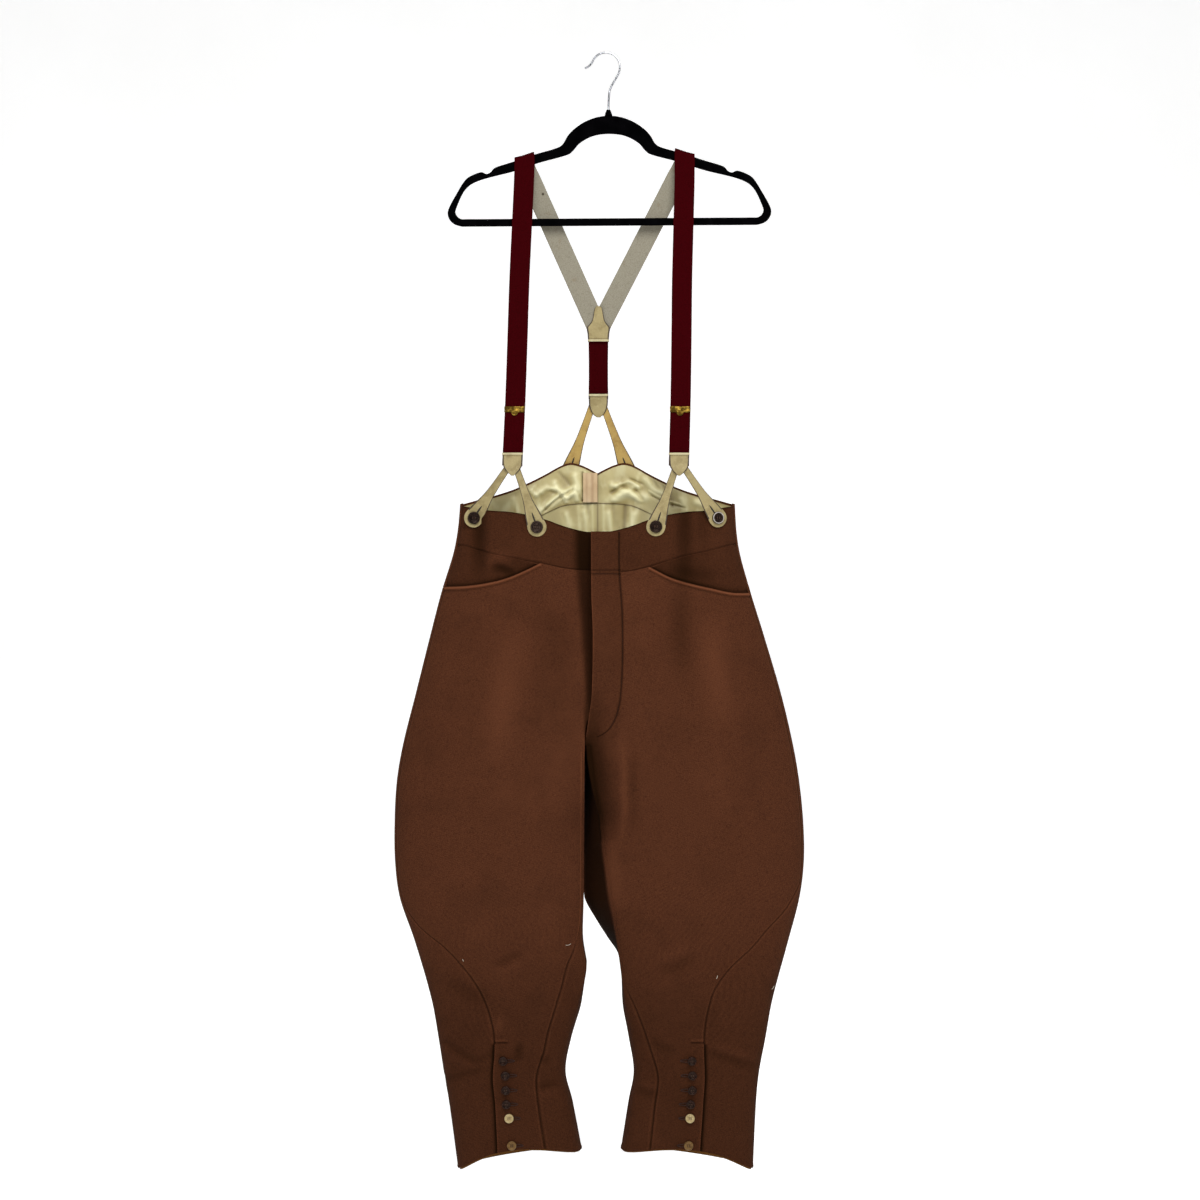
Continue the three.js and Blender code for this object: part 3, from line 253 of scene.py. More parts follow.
# Creases of the fine cloth, as lines on the front in x and z: positive stands out, negative dips
CREASES = [
    # the hollow over the fork, where the right front dives behind the left, and its drag lines
    ("left", 20, -6, (-24, -870), (-22, -930), (-14, -985), (-8, -1035), (-4, -1085)),
    ("left", 13, -5, (-22, -900), (-18, -950), (-11, -1000), (-6, -1060)),
    ("left", 5, -1.2, (22, -885), (12, -925), (2, -955)),
    ("left", 7, 1.6, (20, -930), (24, -980), (24, -1040), (18, -1085)),
    ("left", 6, -1.4, (34, -960), (37, -1010), (34, -1070)),
    ("left", 16, 2.2, (-4, -1075), (6, -1120), (14, -1180)),
    # the right thigh's soft fold below the pocket
    ("left", 12, -1.2, (103, -725), (101, -780), (104, -850)),
    ("left", 20, 1.6, (140, -770), (150, -850), (160, -930)),
    ("right", 22, 1.6, (-120, -780), (-140, -880), (-150, -980)),
    ("right", 24, -1.5, (-70, -760), (-66, -860), (-70, -960)),
    # the puffed pocket facing and the hollow over the right pocket's lip
    ("right", 8, 2.4, (-164, -706), (-150, -694), (-126, -696)),
    ("right", 5, -3.4, (-158, -706), (-144, -709), (-124, -716)),
    ("left", 9, -1.8, (84, -712), (112, -716), (150, -722)),
    # knee
    ("right", 5, -1.8, (-150, -1250), (-127, -1237), (-114, -1232)),
    ("right", 6, 1.4, (-152, -1260), (-128, -1248), (-112, -1244)),
    ("right", 9, -1.6, (-215, -1270), (-185, -1287), (-160, -1290)),
    ("left", 9, -1.4, (120, -1235), (95, -1248), (70, -1252)),
    ("left", 9, 1.4, (115, -1222), (90, -1236), (66, -1240)),
    # calf
    ("right", 4.5, -2.2, (-117, -1352), (-119, -1368), (-122, -1382)),
    ("right", 6, 1.8, (-148, -1345), (-146, -1328), (-140, -1314)),
    ("right", 4, -1.6, (-226, -1352), (-200, -1368), (-180, -1380), (-160, -1372), (-152, -1366)),
    ("right", 5, 1.2, (-228, -1360), (-200, -1377), (-176, -1389)),
    ("right", 4, -1.4, (-228, -1410), (-195, -1398), (-160, -1388)),
    ("right", 5, -1.5, (-92, -1376), (-82, -1379), (-76, -1374)),
    ("right", 5, -1.6, (-96, -1416), (-80, -1414), (-64, -1412)),
    ("right", 6, 1.2, (-98, -1425), (-82, -1424), (-62, -1422)),
    ("left", 5, -1.6, (137, -1364), (168, -1376), (208, -1390)),
    ("left", 6, 1.4, (140, -1355), (170, -1366), (208, -1379)),
    ("left", 5, -1.4, (42, -1420), (58, -1424), (72, -1424)),
    ("left", 6, 1.2, (44, -1411), (60, -1414), (74, -1414)),
    ("left", 5, -1.0, (60, -1352), (78, -1362), (96, -1364)),
]
BACK_CREASES = [
    ("right", 20, -3.0, (-60, -700), (-84, -780), (-98, -870)),
    ("right", 24, 2.4, (-140, -740), (-160, -860), (-168, -980)),
    ("right", 18, -2.4, (-200, -900), (-180, -1000), (-150, -1090)),
    ("left", 20, -2.8, (40, -690), (62, -780), (76, -860)),
    ("left", 26, 2.2, (120, -760), (138, -880), (146, -990)),
    ("left", 18, -2.6, (186, -930), (160, -1020), (128, -1110)),
    ("right", 8, -2.4, (-70, -1225), (-110, -1240), (-170, -1236)),
    ("right", 9, 2.0, (-66, -1240), (-112, -1256), (-176, -1252)),
    ("right", 8, -2.2, (-84, -1272), (-130, -1280), (-190, -1268)),
    ("left", 8, -2.4, (46, -1222), (96, -1240), (150, -1238)),
    ("left", 9, 2.0, (50, -1238), (98, -1256), (156, -1254)),
    ("left", 8, -2.0, (60, -1275), (110, -1285), (170, -1274)),
    ("right", 6, -1.6, (-90, -1372), (-130, -1380), (-190, -1376)),
    ("left", 6, -1.6, (70, -1370), (120, -1382), (176, -1374)),
]


def creased(half, face, x, z):
    """How far the creases move the cloth out at each place."""
    raised = np.zeros_like(x)
    for name, width, height, *line in CREASES if face == "front" else BACK_CREASES:
        if name != half.name:
            continue
        points = np.array(line, float)
        lengths = np.linalg.norm(np.diff(points, axis=0), axis=1)
        best = np.full(x.shape, np.inf)
        along = np.zeros_like(x)
        for index, (start, end) in enumerate(zip(points[:-1], points[1:])):
            run = (end - start) / lengths[index]
            reach = np.clip((x - start[0]) * run[0] + (z - start[1]) * run[1], 0, lengths[index])
            away = np.hypot(x - start[0] - reach * run[0], z - start[1] - reach * run[1])
            nearer = away < best
            along = np.where(nearer, lengths[:index].sum() + reach, along)
            best = np.where(nearer, away, best)
        fade = np.sin(np.pi * np.clip(along / lengths.sum(), 0.0, 1)) ** 0.7
        raised += height * hump(best / width) * fade
    return raised


def lengths_along(points, axis):
    steps = np.linalg.norm(np.diff(points, axis=axis), axis=-1)
    pad = [(0, 0), (0, 0)]
    pad[axis] = (1, 0)
    return np.cumsum(np.pad(steps, pad), axis=axis)


def cloth_faces(half, z, walk, thickness=CLOTH, inset=0, raised=0, creases=True):
    """The outer and inner faces of a piece of cloth over a net of places on one half."""
    points, normal = walk_point(half, z, walk), walk_normal(half, z, walk)
    lift = np.zeros_like(points[..., 0]) + raised
    if creases:
        x, level = points[..., 0], points[..., 2]
        ahead = np.where(walk <= 1, 1, smooth((walk - 2.4) / 0.6))
        behind = smooth(np.minimum(walk - 1, 2 - walk) / 0.06)
        lift = lift + ahead * creased(half, "front", x, level)
        lift = lift + behind * creased(half, "back", x, level)
    outer = points + normal * (lift - inset)[..., None]
    return outer * MM, (outer - normal * thickness) * MM


def shell(name, outer, inner, material, there=None, sunk=None):
    """A closed wall of cloth between two nets of points, with its own map in metres."""
    rows, columns = outer.shape[:2]
    numbers = np.arange(rows * columns).reshape(rows, columns)
    there = np.ones((rows - 1, columns - 1), bool) if there is None else there
    a, b = numbers[:-1, :-1][there], numbers[:-1, 1:][there]
    c, d = numbers[1:, 1:][there], numbers[1:, :-1][there]
    count = rows * columns
    faces = [np.stack([a, b, c, d], 1), np.stack([d, c, b, a], 1) + count]
    open_ = np.pad(there, 1)
    edges = [
        (open_[1:-1, 1:-1] & ~open_[:-2, 1:-1], numbers[:-1, 1:], numbers[:-1, :-1]),
        (open_[1:-1, 1:-1] & ~open_[2:, 1:-1], numbers[1:, :-1], numbers[1:, 1:]),
        (open_[1:-1, 1:-1] & ~open_[1:-1, :-2], numbers[:-1, :-1], numbers[1:, :-1]),
        (open_[1:-1, 1:-1] & ~open_[1:-1, 2:], numbers[1:, 1:], numbers[:-1, 1:]),
    ]
    for rim, start, end in edges:
        s, e = start[rim], end[rim]
        faces.append(np.stack([s, e, e + count, s + count], 1))
    faces = np.concatenate(faces)
    points = np.concatenate([outer.reshape(-1, 3), inner.reshape(-1, 3)])
    across = lengths_along(outer, 1)
    across = across - across[:, columns // 2][:, None]
    flat = np.stack([across, outer[..., 2]], -1).reshape(-1, 2)
    flat = np.concatenate([flat, flat])
    first = faces[0]
    facing = np.cross(points[first[1]] - points[first[0]], points[first[3]] - points[first[0]])
    if facing @ (outer - inner).reshape(-1, 3)[first[0]] < 0:
        faces = faces[:, ::-1]
    sunk = None if sunk is None else np.tile((sunk + 0 * outer[..., 0]).ravel(), 2)
    return mesh_object(name, points, faces, material, flat, sunk)


def mesh_object(name, points, faces, material, flat=None, sunk=None):
    used, packed = np.unique(np.asarray(faces).ravel(), return_inverse=True)
    faces = packed.reshape(-1, np.asarray(faces).shape[1])
    mesh = bpy.data.meshes.new(name)
    mesh.from_pydata(np.asarray(points)[used].tolist(), [], faces.tolist())
    if flat is not None:
        layer = mesh.uv_layers.new(name="cloth")
        layer.data.foreach_set("uv", flat[used][faces.ravel()].astype(np.float32).ravel())
    if sunk is not None:  # painted shade, mostly where the cloth lies deep in a fold or hollow, and with a minus sign painted highlight, which its finish follows
        layer = mesh.attributes.new("sunk", "FLOAT", "POINT")
        layer.data.foreach_set("value", sunk[used].astype(np.float32))
    mesh.polygons.foreach_set("use_smooth", np.ones(len(faces), bool))
    mesh.set_sharp_from_angle(angle=math.radians(50))
    mesh.materials.append(material)
    made = bpy.data.objects.new(name, mesh)
    bpy.context.scene.collection.objects.link(made)
    return made


class Wire:
    """A value in a finish's nodes, which plain arithmetic builds on."""

    def __init__(self, finish, socket):
        self.finish, self.socket = finish, socket

    def math(self, operation, *values):
        sockets = dict(enumerate(values))
        return self.finish.node("ShaderNodeMath", {"operation": operation}, sockets)

    def __add__(self, other):
        return self.math("ADD", self, other)

    def __sub__(self, other):
        return self.math("SUBTRACT", self, other)

    def __rsub__(self, other):
        return self.math("SUBTRACT", other, self)

    def __mul__(self, other):
        return self.math("MULTIPLY", self, other)

    def __truediv__(self, other):
        return self.math("DIVIDE", self, other)

    def __pow__(self, other):
        return self.math("POWER", self, other)

    __radd__ = __add__
    __rmul__ = __mul__

    def wave(self):
        """From 0 to 1 and back as the value grows by one"""
        return self.math("SINE", self * math.tau) * 0.5 + 0.5

    def fade(self, low, high):
        """0 below low, 1 above high, smooth between"""
        settings = {"interpolation_type": "SMOOTHSTEP"}
        sockets = {"Value": self, "From Min": low, "From Max": high}
        return self.finish.node("ShaderNodeMapRange", settings, sockets)


class Finish:
    """A procedural material: constants go on the shader, and varying values are wired to it."""

    def __init__(self, name, **constants):
        self.material = bpy.data.materials.new(name)
        self.material.use_nodes = True
        self.tree = self.material.node_tree
        self.shader = next(n for n in self.tree.nodes if n.type == "BSDF_PRINCIPLED")
        for key, value in constants.items():
            self.shader.inputs[key.replace("_", " ")].default_value = value

    def node(self, kind, settings=None, sockets=None, out=0):
        made = self.tree.nodes.new(kind)
        for key, value in (settings or {}).items():
            if key == "stops":
                while len(made.color_ramp.elements) < len(value):
                    made.color_ramp.elements.new(0.5)
                for element, (place, colour) in zip(made.color_ramp.elements, value):
                    element.position, element.color = place, (*colour, 1)
            else:
                setattr(made, key, value)
        for key, value in (sockets or {}).items():
            self.plug(made.inputs[key], value)
        return Wire(self, made.outputs[out])

    def plug(self, socket, value):
        if isinstance(value, Wire):
            self.tree.links.new(value.socket, socket)
        elif isinstance(value, tuple) and socket.type == "RGBA":
            socket.default_value = (*value, 1)
        else:
            socket.default_value = value

    def wire(self, **values):
        for key, value in values.items():
            self.plug(self.shader.inputs[key.replace("_", " ")], value)

    def places(self):
        return self.node("ShaderNodeTexCoord", out="Object")

    def cloth_map(self):
        """The cloth's own u and v in metres"""
        flat = self.node("ShaderNodeUVMap", {"uv_map": "cloth"})
        split = self.tree.nodes.new("ShaderNodeSeparateXYZ")
        self.tree.links.new(flat.socket, split.inputs[0])
        return Wire(self, split.outputs[0]), Wire(self, split.outputs[1])

    def noise(self, scale, detail=2, roughness=0.5, stretch=None, where=None):
        where = where or self.places()
        if stretch:
            where = self.node(
                "ShaderNodeMapping", None, {"Vector": where, "Scale": stretch}
            )
        sockets = {"Vector": where, "Scale": scale, "Detail": detail, "Roughness": roughness}
        return self.node("ShaderNodeTexNoise", None, sockets)

    def blend(self, first, second, amount):
        sockets = {0: amount, 6: first, 7: second}
        return self.node("ShaderNodeMix", {"data_type": "RGBA"}, sockets, 2)

    def bump(self, height, distance, strength=1.0, over=None):
        sockets = {"Height": height, "Distance": distance, "Strength": strength}
        if over:
            sockets["Normal"] = over
        return self.node("ShaderNodeBump", None, sockets)


def shade(red, green, blue):
    """A colour given as it looks on a screen"""
    def linear(value):
        value /= 255
        return value / 12.92 if value <= 0.04045 else ((value + 0.055) / 1.055) ** 2.4
    return tuple(linear(v) for v in (red, green, blue))


LIGHT = 1.9  # how much brighter than its own colour a surface looks in the light of the scene


def dye(red, green, blue):
    return tuple(value / LIGHT for value in shade(red, green, blue))


def painted_shade(half, z, walk):
    """Painted shade where the cloth lies deep in a crease or trough, between the legs, beside the
    fly and by the left front's inner edge, growing down the calves; with a minus sign, painted
    highlight where a crease stands out
    """
    x = walk_point(half, z, walk)[..., 0]
    raised = np.where((walk <= 1) | (walk > 2.9), creased(half, "front", x, z),
                      creased(half, "back", x, z))
    deep = np.clip(-raised / 12, 0, 1) ** 0.65 * 0.95 - np.clip(raised / 7, 0, 0.35)
    between = smooth((walk - 2) / 0.1) * smooth((2.99 - walk) / 0.08) * smooth((z + 1330) / 120)
    trunk = np.where(walk <= 1, troughs(half, "front", x, z), 0) / 15
    if half is RIGHT:
        from_fly = (read(FRONT_EDGES, "left", z) - x) / read(FLY_SHADE, "wide", z)
        groove = 0.8 * smooth((1 - from_fly) * 1.7) * smooth((z + 945) / 30)
        trunk = trunk + np.where((walk <= 1) & (from_fly > -0.5), groove, 0)
    else:
        from_edge = hump((x - read(FRONT_EDGES, "left", z)) / 9) * smooth((-925 - z) / 40)
        by_edge = 0.5 * from_edge * smooth((z + 1130) / 90)
        trunk = trunk + np.where((walk <= 1) | (walk > 2.9), by_edge, 0)
    return deep + between + trunk + 0.42 * smooth((-1130 - z) / 250)


def seam_painted_shade(distance):
    """Painted shade in a pressed seam's line, and painted highlight on its edges"""
    return 0.5 * hump(distance / 1.0) - 0.22 * hump((distance - 2.6) / 1.3)


def twill_finish(name, base, light, dark, deep):
    made = Finish(name, Roughness=0.95, Specular_IOR_Level=0.05)
    u, v = made.cloth_map()
    rib = (u * 620 + v * 330).wave()
    fleck = made.noise(900, 3, 0.65)
    nap = made.noise(420, 3, 0.65)
    wear = made.noise(9, 3, 0.55)
    fade = made.noise(16, 2, 0.5)
    colour = made.blend(dark, base, nap.fade(0.22, 0.6))
    colour = made.blend(colour, light, (fleck * 0.6 + rib * 0.4).fade(0.42, 0.8) * 0.75)
    colour = made.blend(colour, light, wear.fade(0.52, 0.75) * 0.14)
    colour = made.blend(colour, dark, fade.fade(0.5, 0.75) * 0.16)
    # painted shade: the deep colour where the mesh's shade attribute is positive, in folds, seams
    # and hollows, and the light colour as painted highlight where it is negative
    sunk = made.node("ShaderNodeAttribute", {"attribute_name": "sunk"}, out="Fac")
    colour = made.blend(colour, deep, sunk * 0.9)
    colour = made.blend(colour, light, sunk * -1)
    made.wire(
        Base_Color=colour,
        Normal=made.bump(rib * 0.35 + fleck * 0.65 + nap * 0.8, 0.0006, 0.8),
    )
    return made.material


# the last colour is the painted shade of folds, seams and hollows
twill = twill_finish(
    "brown_twill", dye(71, 38, 21), dye(130, 77, 50), dye(38, 19, 8), dye(33, 14, 0)
)


def seam_place(half, which, z, aside):
    """A seam's place across the leg's front, moved aside by a distance in millimetres"""
    width = np.abs(read(SIDES, half.name, z) - read(FRONT_EDGES, half.name, z))
    start = SIDE_SEAM if which == "Outer" else 0
    place = np.where(z > FORK_Z, start, read(LEG_SEAMS, half.name + which, z))
    return np.maximum(place + aside / width, 0)


def front_walk(half, z, part):
    inner, outer = seam_place(half, "Inner", z, GAP / 2), seam_place(half, "Outer", z, -GAP / 2)
    return mix(inner, outer, part)


def across(half, face, part, z):
    """Distance from the centre line"""
    return np.maximum(half.sign * (face_point(half, face, np.float64(z), part)[0] - CENTRE_X), 0)


def edge_z(half, part, level, rows, column):
    return read(rows, column, across(half, "front", front_walk(half, level, part), level))


def waist_top_z(half, part):
    return edge_z(half, part, -640, WAIST_TOP, "z")


def waist_seam_z(half, part):
    return edge_z(half, part, -700, WAIST_SEAM, half.name)


def mouth_z(half, part):
    return edge_z(half, part, -728, POCKET_MOUTH, half.name)


def hem_z(walk):
    front, back = read(HEM, "front", walk), read(HEM, "back", 2 - walk)
    return np.select([walk <= 1, walk <= 2, walk <= 3], [front, back, HEM["front"][0]],
                     read(HEM, "front", walk - 3))


def crowded(count, start=0.0, end=1.0):
    """Places that crowd towards both ends, where the cloth bends most"""
    return mix(start, end, (1 - np.cos(np.pi * np.linspace(0, 1, count + 1))) / 2)


# Below the top of the calf opening the front's edge laps over the back's.
PLACKET_TOP, LAP = -1354.3, 1.6


def down_leg(tops, hems, walk_at):
    """A leg panel's net of levels, from its top edge by the fork and knee to its hem"""
    steps = np.linspace(0, 1, 26)[:-1, None] ** 1.5
    upper = mix(tops, -760, steps)
    levels = np.append(np.linspace(-760, -1480, 165), PLACKET_TOP + np.arange(-3.5, 4))
    middle = np.sort(levels)[::-1][:, None] + np.zeros_like(tops)
    lower = mix(-1480, hems, crowded(14)[1:, None])
    z = np.concatenate([upper, middle, lower])
    return z, walk_at(z)


def hang(made, replaced, flat=None, area=None):
    """A piece of the part's one body, in place of its plain solid; flat and area, the cloth's cut,
    are not used
    """
    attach(made, "root")
    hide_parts(replaced)


SEAM_SHOWS = {"right": -1200, "left": -1270}  # above this the inside leg seam is out of sight
SEAM_DIP, SEAM_WIDTH, SEAM_RIDGE = 0.9, 1.2, 0.22


def dipped(distance):
    """How far the cloth sinks beside a pressed seam"""
    return SEAM_RIDGE * hump((distance - 4) / 2.2) - SEAM_DIP * hump(distance / SEAM_WIDTH)


front_parts = crowded(120)
for half in (RIGHT, LEFT):
    seam_top = waist_seam_z(half, front_parts) - GAP
    mouth = mouth_z(half, front_parts)
    tops = np.minimum(seam_top, mouth)
    hems = hem_z(front_walk(half, -1506.0, front_parts))
    z, walk = down_leg(tops, hems, lambda z: front_walk(half, z, front_parts[None, :]))
    points = walk_point(half, z, walk)
    over = lengths_along(points, 1)
    down = lengths_along(points, 0)
    is_mouth = mouth < seam_top
    lip = np.where(is_mouth, 2.2 * hump((down - 2.2) / 1.7) - 0.5 * hump((down - 6) / 1.5),
                   dipped(down))
    side = over[:, -1:] - over
    shown = smooth((SEAM_SHOWS[half.name] - z) / 40)
    inner_edge = dipped(over) * shown
    placket = smooth((PLACKET_TOP - z) / 4)
    beside = mix(dipped(side), LAP * (1 - smooth(side / 20)), placket)
    raised = beside + inner_edge + lip + 0.7 * hump((down[-1:] - down - 2) / 2.5)
    outer, inner = cloth_faces(half, z, walk, raised=raised)
    # painted shade in the seam lines with painted highlight on their edges; at the placket, painted
    # highlight along the front's lapping edge
    seam = seam_painted_shade(side) * (1 - placket) - 0.35 * placket * hump(side / 2)
    seam = seam + seam_painted_shade(over) * shown
    # painted highlight on the pocket's rolled lip, with painted shade just below it
    seam = seam + is_mouth * (0.35 * hump((down - 6) / 1.5) - 0.95 * hump((down - 2.2) / 1.8))
    if half is RIGHT:  # painted highlight along the fold of the leg, between the legs
        seam = seam - 0.5 * hump(over / 1.4) * smooth((FORK_Z - z) / 20) * (1 - shown)
    # painted shade in a line across the top of the placket, with painted highlight just above it
    bar = smooth((19 - side) / 2)
    placket_line = 0.7 * hump((z - PLACKET_TOP) / 1.1) - 0.35 * hump((z - PLACKET_TOP - 3) / 1.6)
    seam = seam + placket_line * bar
    sunk = painted_shade(half, z, walk) + seam
    front = shell(f"{half.name}_front_cloth", outer, inner, twill, sunk=sunk)
    hang(front, f"{half.name}_front", flat=(0.31, 0.81), area=0.155)

# The back starts on the front of the calf, at the outer seam, runs round behind and through
# between the legs to the inside leg seam.
WRAP = crowded(30)
BEHIND = crowded(96)
THROUGH = np.linspace(0, 1, 18)[1:]
INSEAM = np.linspace(0, 1, 13)[1:]
TRUNK = len(WRAP) + len(BEHIND) - 2


def back_walks(half, z):
    outer = seam_place(half, "Outer", z, GAP / 2)
    inner = seam_place(half, "Inner", np.minimum(z, FORK_Z), -GAP / 2)
    return np.concatenate([
        mix(outer, 1, WRAP[None, :]), 1 + BEHIND[None, 1:] + 0 * z, 2 + THROUGH[None, :] + 0 * z,
        3 + inner * INSEAM[None, :],
    ], 1)


def back_top_z(half, walk, drop):
    front, back = across(half, "front", np.minimum(walk, 1), -600), across(
        half, "back", np.clip(2 - walk, 0, 1), -600)
    return read(BACK_TOP, "z", np.where(walk < 1, front, back)) - drop


def back_walk_rows(half, z):
    rows = [back_walks(half, level[:, None]) for level in z]
    return np.stack([np.diagonal(row) for row in rows])


for half in (RIGHT, LEFT):
    tops = back_top_z(half, back_walks(half, np.array([[-600.0]]))[0], 0)
    hems = hem_z(back_walks(half, np.array([[-1506.0]]))[0])
    z, walk = down_leg(tops, hems, lambda z: back_walk_rows(half, z))
    points = walk_point(half, z, walk)
    over, down = lengths_along(points, 1), lengths_along(points, 0)
    there = (z[:-1, :-1] <= FORK_Z + 5) | (np.arange(z.shape[1] - 1)[None, :] < TRUNK)
    centre = np.abs(over - over[:, TRUNK:TRUNK + 1])
    raised = dipped(over) + np.where(z > FORK_Z, dipped(centre), 0)
    shown = smooth((SEAM_SHOWS[half.name] - z) / 40)
    raised = raised + dipped(over[:, -1:] - over) * shown
    raised = raised + 0.7 * hump((down[-1:] - down - 2) / 2.5)
    outer, inner = cloth_faces(half, z, walk, raised=raised)
    placket = smooth((PLACKET_TOP - z) / 4)
    # painted shade in the seam lines; below the placket top, painted shadow where the front's edge
    # laps over the back
    seam = seam_painted_shade(over) * (1 - placket) + 0.9 * placket * hump(over / 3.6)
    seam = seam + seam_painted_shade(over[:, -1:] - over) * shown
    sunk = painted_shade(half, z, walk) + seam
    back = shell(f"{half.name}_back_cloth", outer, inner, twill, there, sunk)
    hang(back, f"{half.name}_back", flat=(0.46, 0.98), area=0.305)

# ---- Pocket facings ----
# Behind each slanting pocket mouth lies a facing of the same twill, sewn up into the waist seam.
# It shows in the mouth above the front's rolled lip, and runs on down inside the pocket.
pocket_parts = crowded(90, 0.25, 1.0)
for half in (RIGHT, LEFT):
    seam_top, mouth = waist_seam_z(half, pocket_parts), mouth_z(half, pocket_parts)
    z = mix(seam_top + 8, mouth - 25, np.linspace(0, 1, 60)[:, None])
    shows = smooth((seam_top - z - 1) / 3.5) * smooth((z - mouth - 1) / 9)
    outer, inner = cloth_faces(
        half, z, front_walk(half, z, pocket_parts[None, :]), inset=CLOTH + 1.4, raised=2.1 * shows
    )
    walk = front_walk(half, z, pocket_parts[None, :])
    # painted shade over the pocket facing, deeper towards its inner end and along the front's lip
    pocket_painted_shade = 0.42 + 0.2 * smooth((0.95 - pocket_parts) / 0.45) + painted_shade(half, z, walk)
    pocket_painted_shade = pocket_painted_shade + 0.5 * hump((z - mouth - 1) / 2.6)
    facing = shell(f"{half.name}_pocket_facing_cloth", outer, inner, twill, sunk=pocket_painted_shade)
    hang(facing, f"{half.name}_pocket_facing", flat=(0.19, 0.1), area=0.0108)

# ---- Waistband ----
# A deep shaped band of the same twill, cut with the fly: on the right it passes under the fly.
# Its lower seam is pressed down and topstitched, and its top edge is turned over the lining.
TURNED = np.array([0.6, 1.2, 1.8, 3.0])
for half in (RIGHT, LEFT):
    top, bottom = waist_top_z(half, front_parts), waist_seam_z(half, front_parts)
    z = np.concatenate([mix(top, bottom, crowded(40)[:, None]), bottom - TURNED[:, None]])
    walk = front_walk(half, z, front_parts[None, :])
    down = top - z
    over = lengths_along(walk_point(half, z, walk), 1)
    raised = dipped(bottom - z) + 0.5 * hump((down - 2) / 1.8) + dipped(over[:, -1:] - over)
    raised = raised - 2.2 * smooth((bottom - z) / 1.6)
    outer, inner = cloth_faces(half, z, walk, raised=raised)
    # painted shade over the whole band, darker in a line along its turned top edge, with the seam's
    # painted shade fading towards the side
    sunk = painted_shade(half, z, walk) + 0.38 + 0.6 * hump(down / 1.6)
    sunk = sunk + seam_painted_shade(bottom - z) * (1 - 0.6 * smooth((front_parts - 0.35) / 0.2))
    band = shell(f"{half.name}_waistband_cloth", outer, inner, twill, sunk=sunk)
    hang(band, f"{half.name}_waistband", flat=(0.22, 0.092), area=0.0125)

# ---- Fly ----
# The fly's doubled edge lies on the left front and its waistband. A line of stitches that curves
# in at the bottom holds its facing, and two more cross it along the waist seam.
FLY_LINE = table(
    "at x", (-650, 20), (-712, 20), (-760, 23.5), (-805, 24.5), (-850, 23.8), (-888, 21),
    (-904, 17.5), (-918, 12), (-929, 4), (-936, -6), (-940, -16),
)
FLY_BOTTOM = -938
STITCH_IN = 2.2
z = np.linspace(waist_top_z(LEFT, np.array([0.0]))[0], FLY_BOTTOM, 190)[:, None]
edge, side = read(FRONT_EDGES, "left", z), read(SIDES, "left", z)
width = np.maximum(read(FLY_LINE, "x", z) - edge, 1.5)
over = np.concatenate([np.linspace(0, 0.12, 7)[:-1], np.linspace(0.12, 0.8, 12)[:-1],
                       np.linspace(0.8, 1, 12)])[None, :]
walk = over * width / (side - edge)
inside = (1 - over) * width
waist_rows = 0.8 * (hump((z + 711.5) / 1.0) + hump((z + 716.5) / 1.0))
lift = 0.3 + 1.0 * smooth(inside / 7) - 0.7 * hump((inside - STITCH_IN) / 0.9) - waist_rows
lift = np.maximum(lift * smooth((z - FLY_BOTTOM) / 14 + 0.2), 0.25)
outer, _ = cloth_faces(LEFT, z + 0 * walk, walk, raised=lift)
inner, _ = cloth_faces(LEFT, z + 0 * walk, walk, raised=0.1)
# painted shade along the stitch line and beside the waist-seam stitches, painted highlight on the
# fly's folded edge, and painted shade over the fly that fades out towards its bottom
sunk = 0.85 * hump((inside - STITCH_IN) / 1.2) - 0.5 * hump((width - inside) / 1.3)
fly_shade = (0.2 + 0.14 * smooth((z + 712) / 4)) * smooth((z - FLY_BOTTOM) / 90)
sunk = sunk + painted_shade(LEFT, z + 0 * walk, walk) + fly_shade
sunk = sunk + 0.6 * (hump((z + 711.5) / 1.3) + hump((z + 716.5) / 1.3))
fly = shell("fly_cloth", outer, inner, twill, sunk=sunk)
hang(fly, "fly", flat=(0.048, 0.285), area=0.0115)


def stitches(name, line, normals, material, length=2.0, pitch=2.8, thick=0.35):
    """A row of thread stitches along a line on the cloth, each one a small pinched bar"""
    line, normals = np.asarray(line), np.asarray(normals)
    run = np.concatenate([[0], np.cumsum(np.linalg.norm(np.diff(line, axis=0), axis=1))])
    points, faces = [], []
    for start in np.arange(0.5 * MM, run[-1] - length * MM, pitch * MM):
        at = start + np.array([0, 0.2, 0.5, 0.8, 1]) * length * MM
        middle = np.stack([np.interp(at, run, line[:, k]) for k in range(3)], 1)
        out = np.stack([np.interp(at, run, normals[:, k]) for k in range(3)], 1)
        along = middle[-1] - middle[0]
        side = np.cross(out, along)
        side /= np.linalg.norm(side, axis=1, keepdims=True)
        fat = np.array([0.25, 0.85, 1, 0.85, 0.25])[:, None] * thick * MM / 2
        sink = np.array([-0.5, 0.4, 0.8, 0.4, -0.5])[:, None] * thick * MM / 2
        first = len(points)
        for angle in np.arange(5) * math.tau / 5:
            ring = middle + out * (sink + fat * math.cos(angle)) + side * fat * math.sin(angle)
            points.extend(ring)
        for a in range(5):
            b = (a + 1) % 5
            for i in range(4):
                faces.append((first + 5 * a + i, first + 5 * b + i,
                              first + 5 * b + i + 1, first + 5 * a + i + 1))
    made = mesh_object(name, points, faces, material)
    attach(made, "root")
    return made


def thread_finish(name, colour, dark):
    made = Finish(name, Roughness=0.7, Specular_IOR_Level=0.2)
    twist = made.noise(1400, 2, 0.5)
    made.wire(Base_Color=made.blend(dark, colour, twist), Normal=made.bump(twist, 0.0002, 0.6))
    return made.material


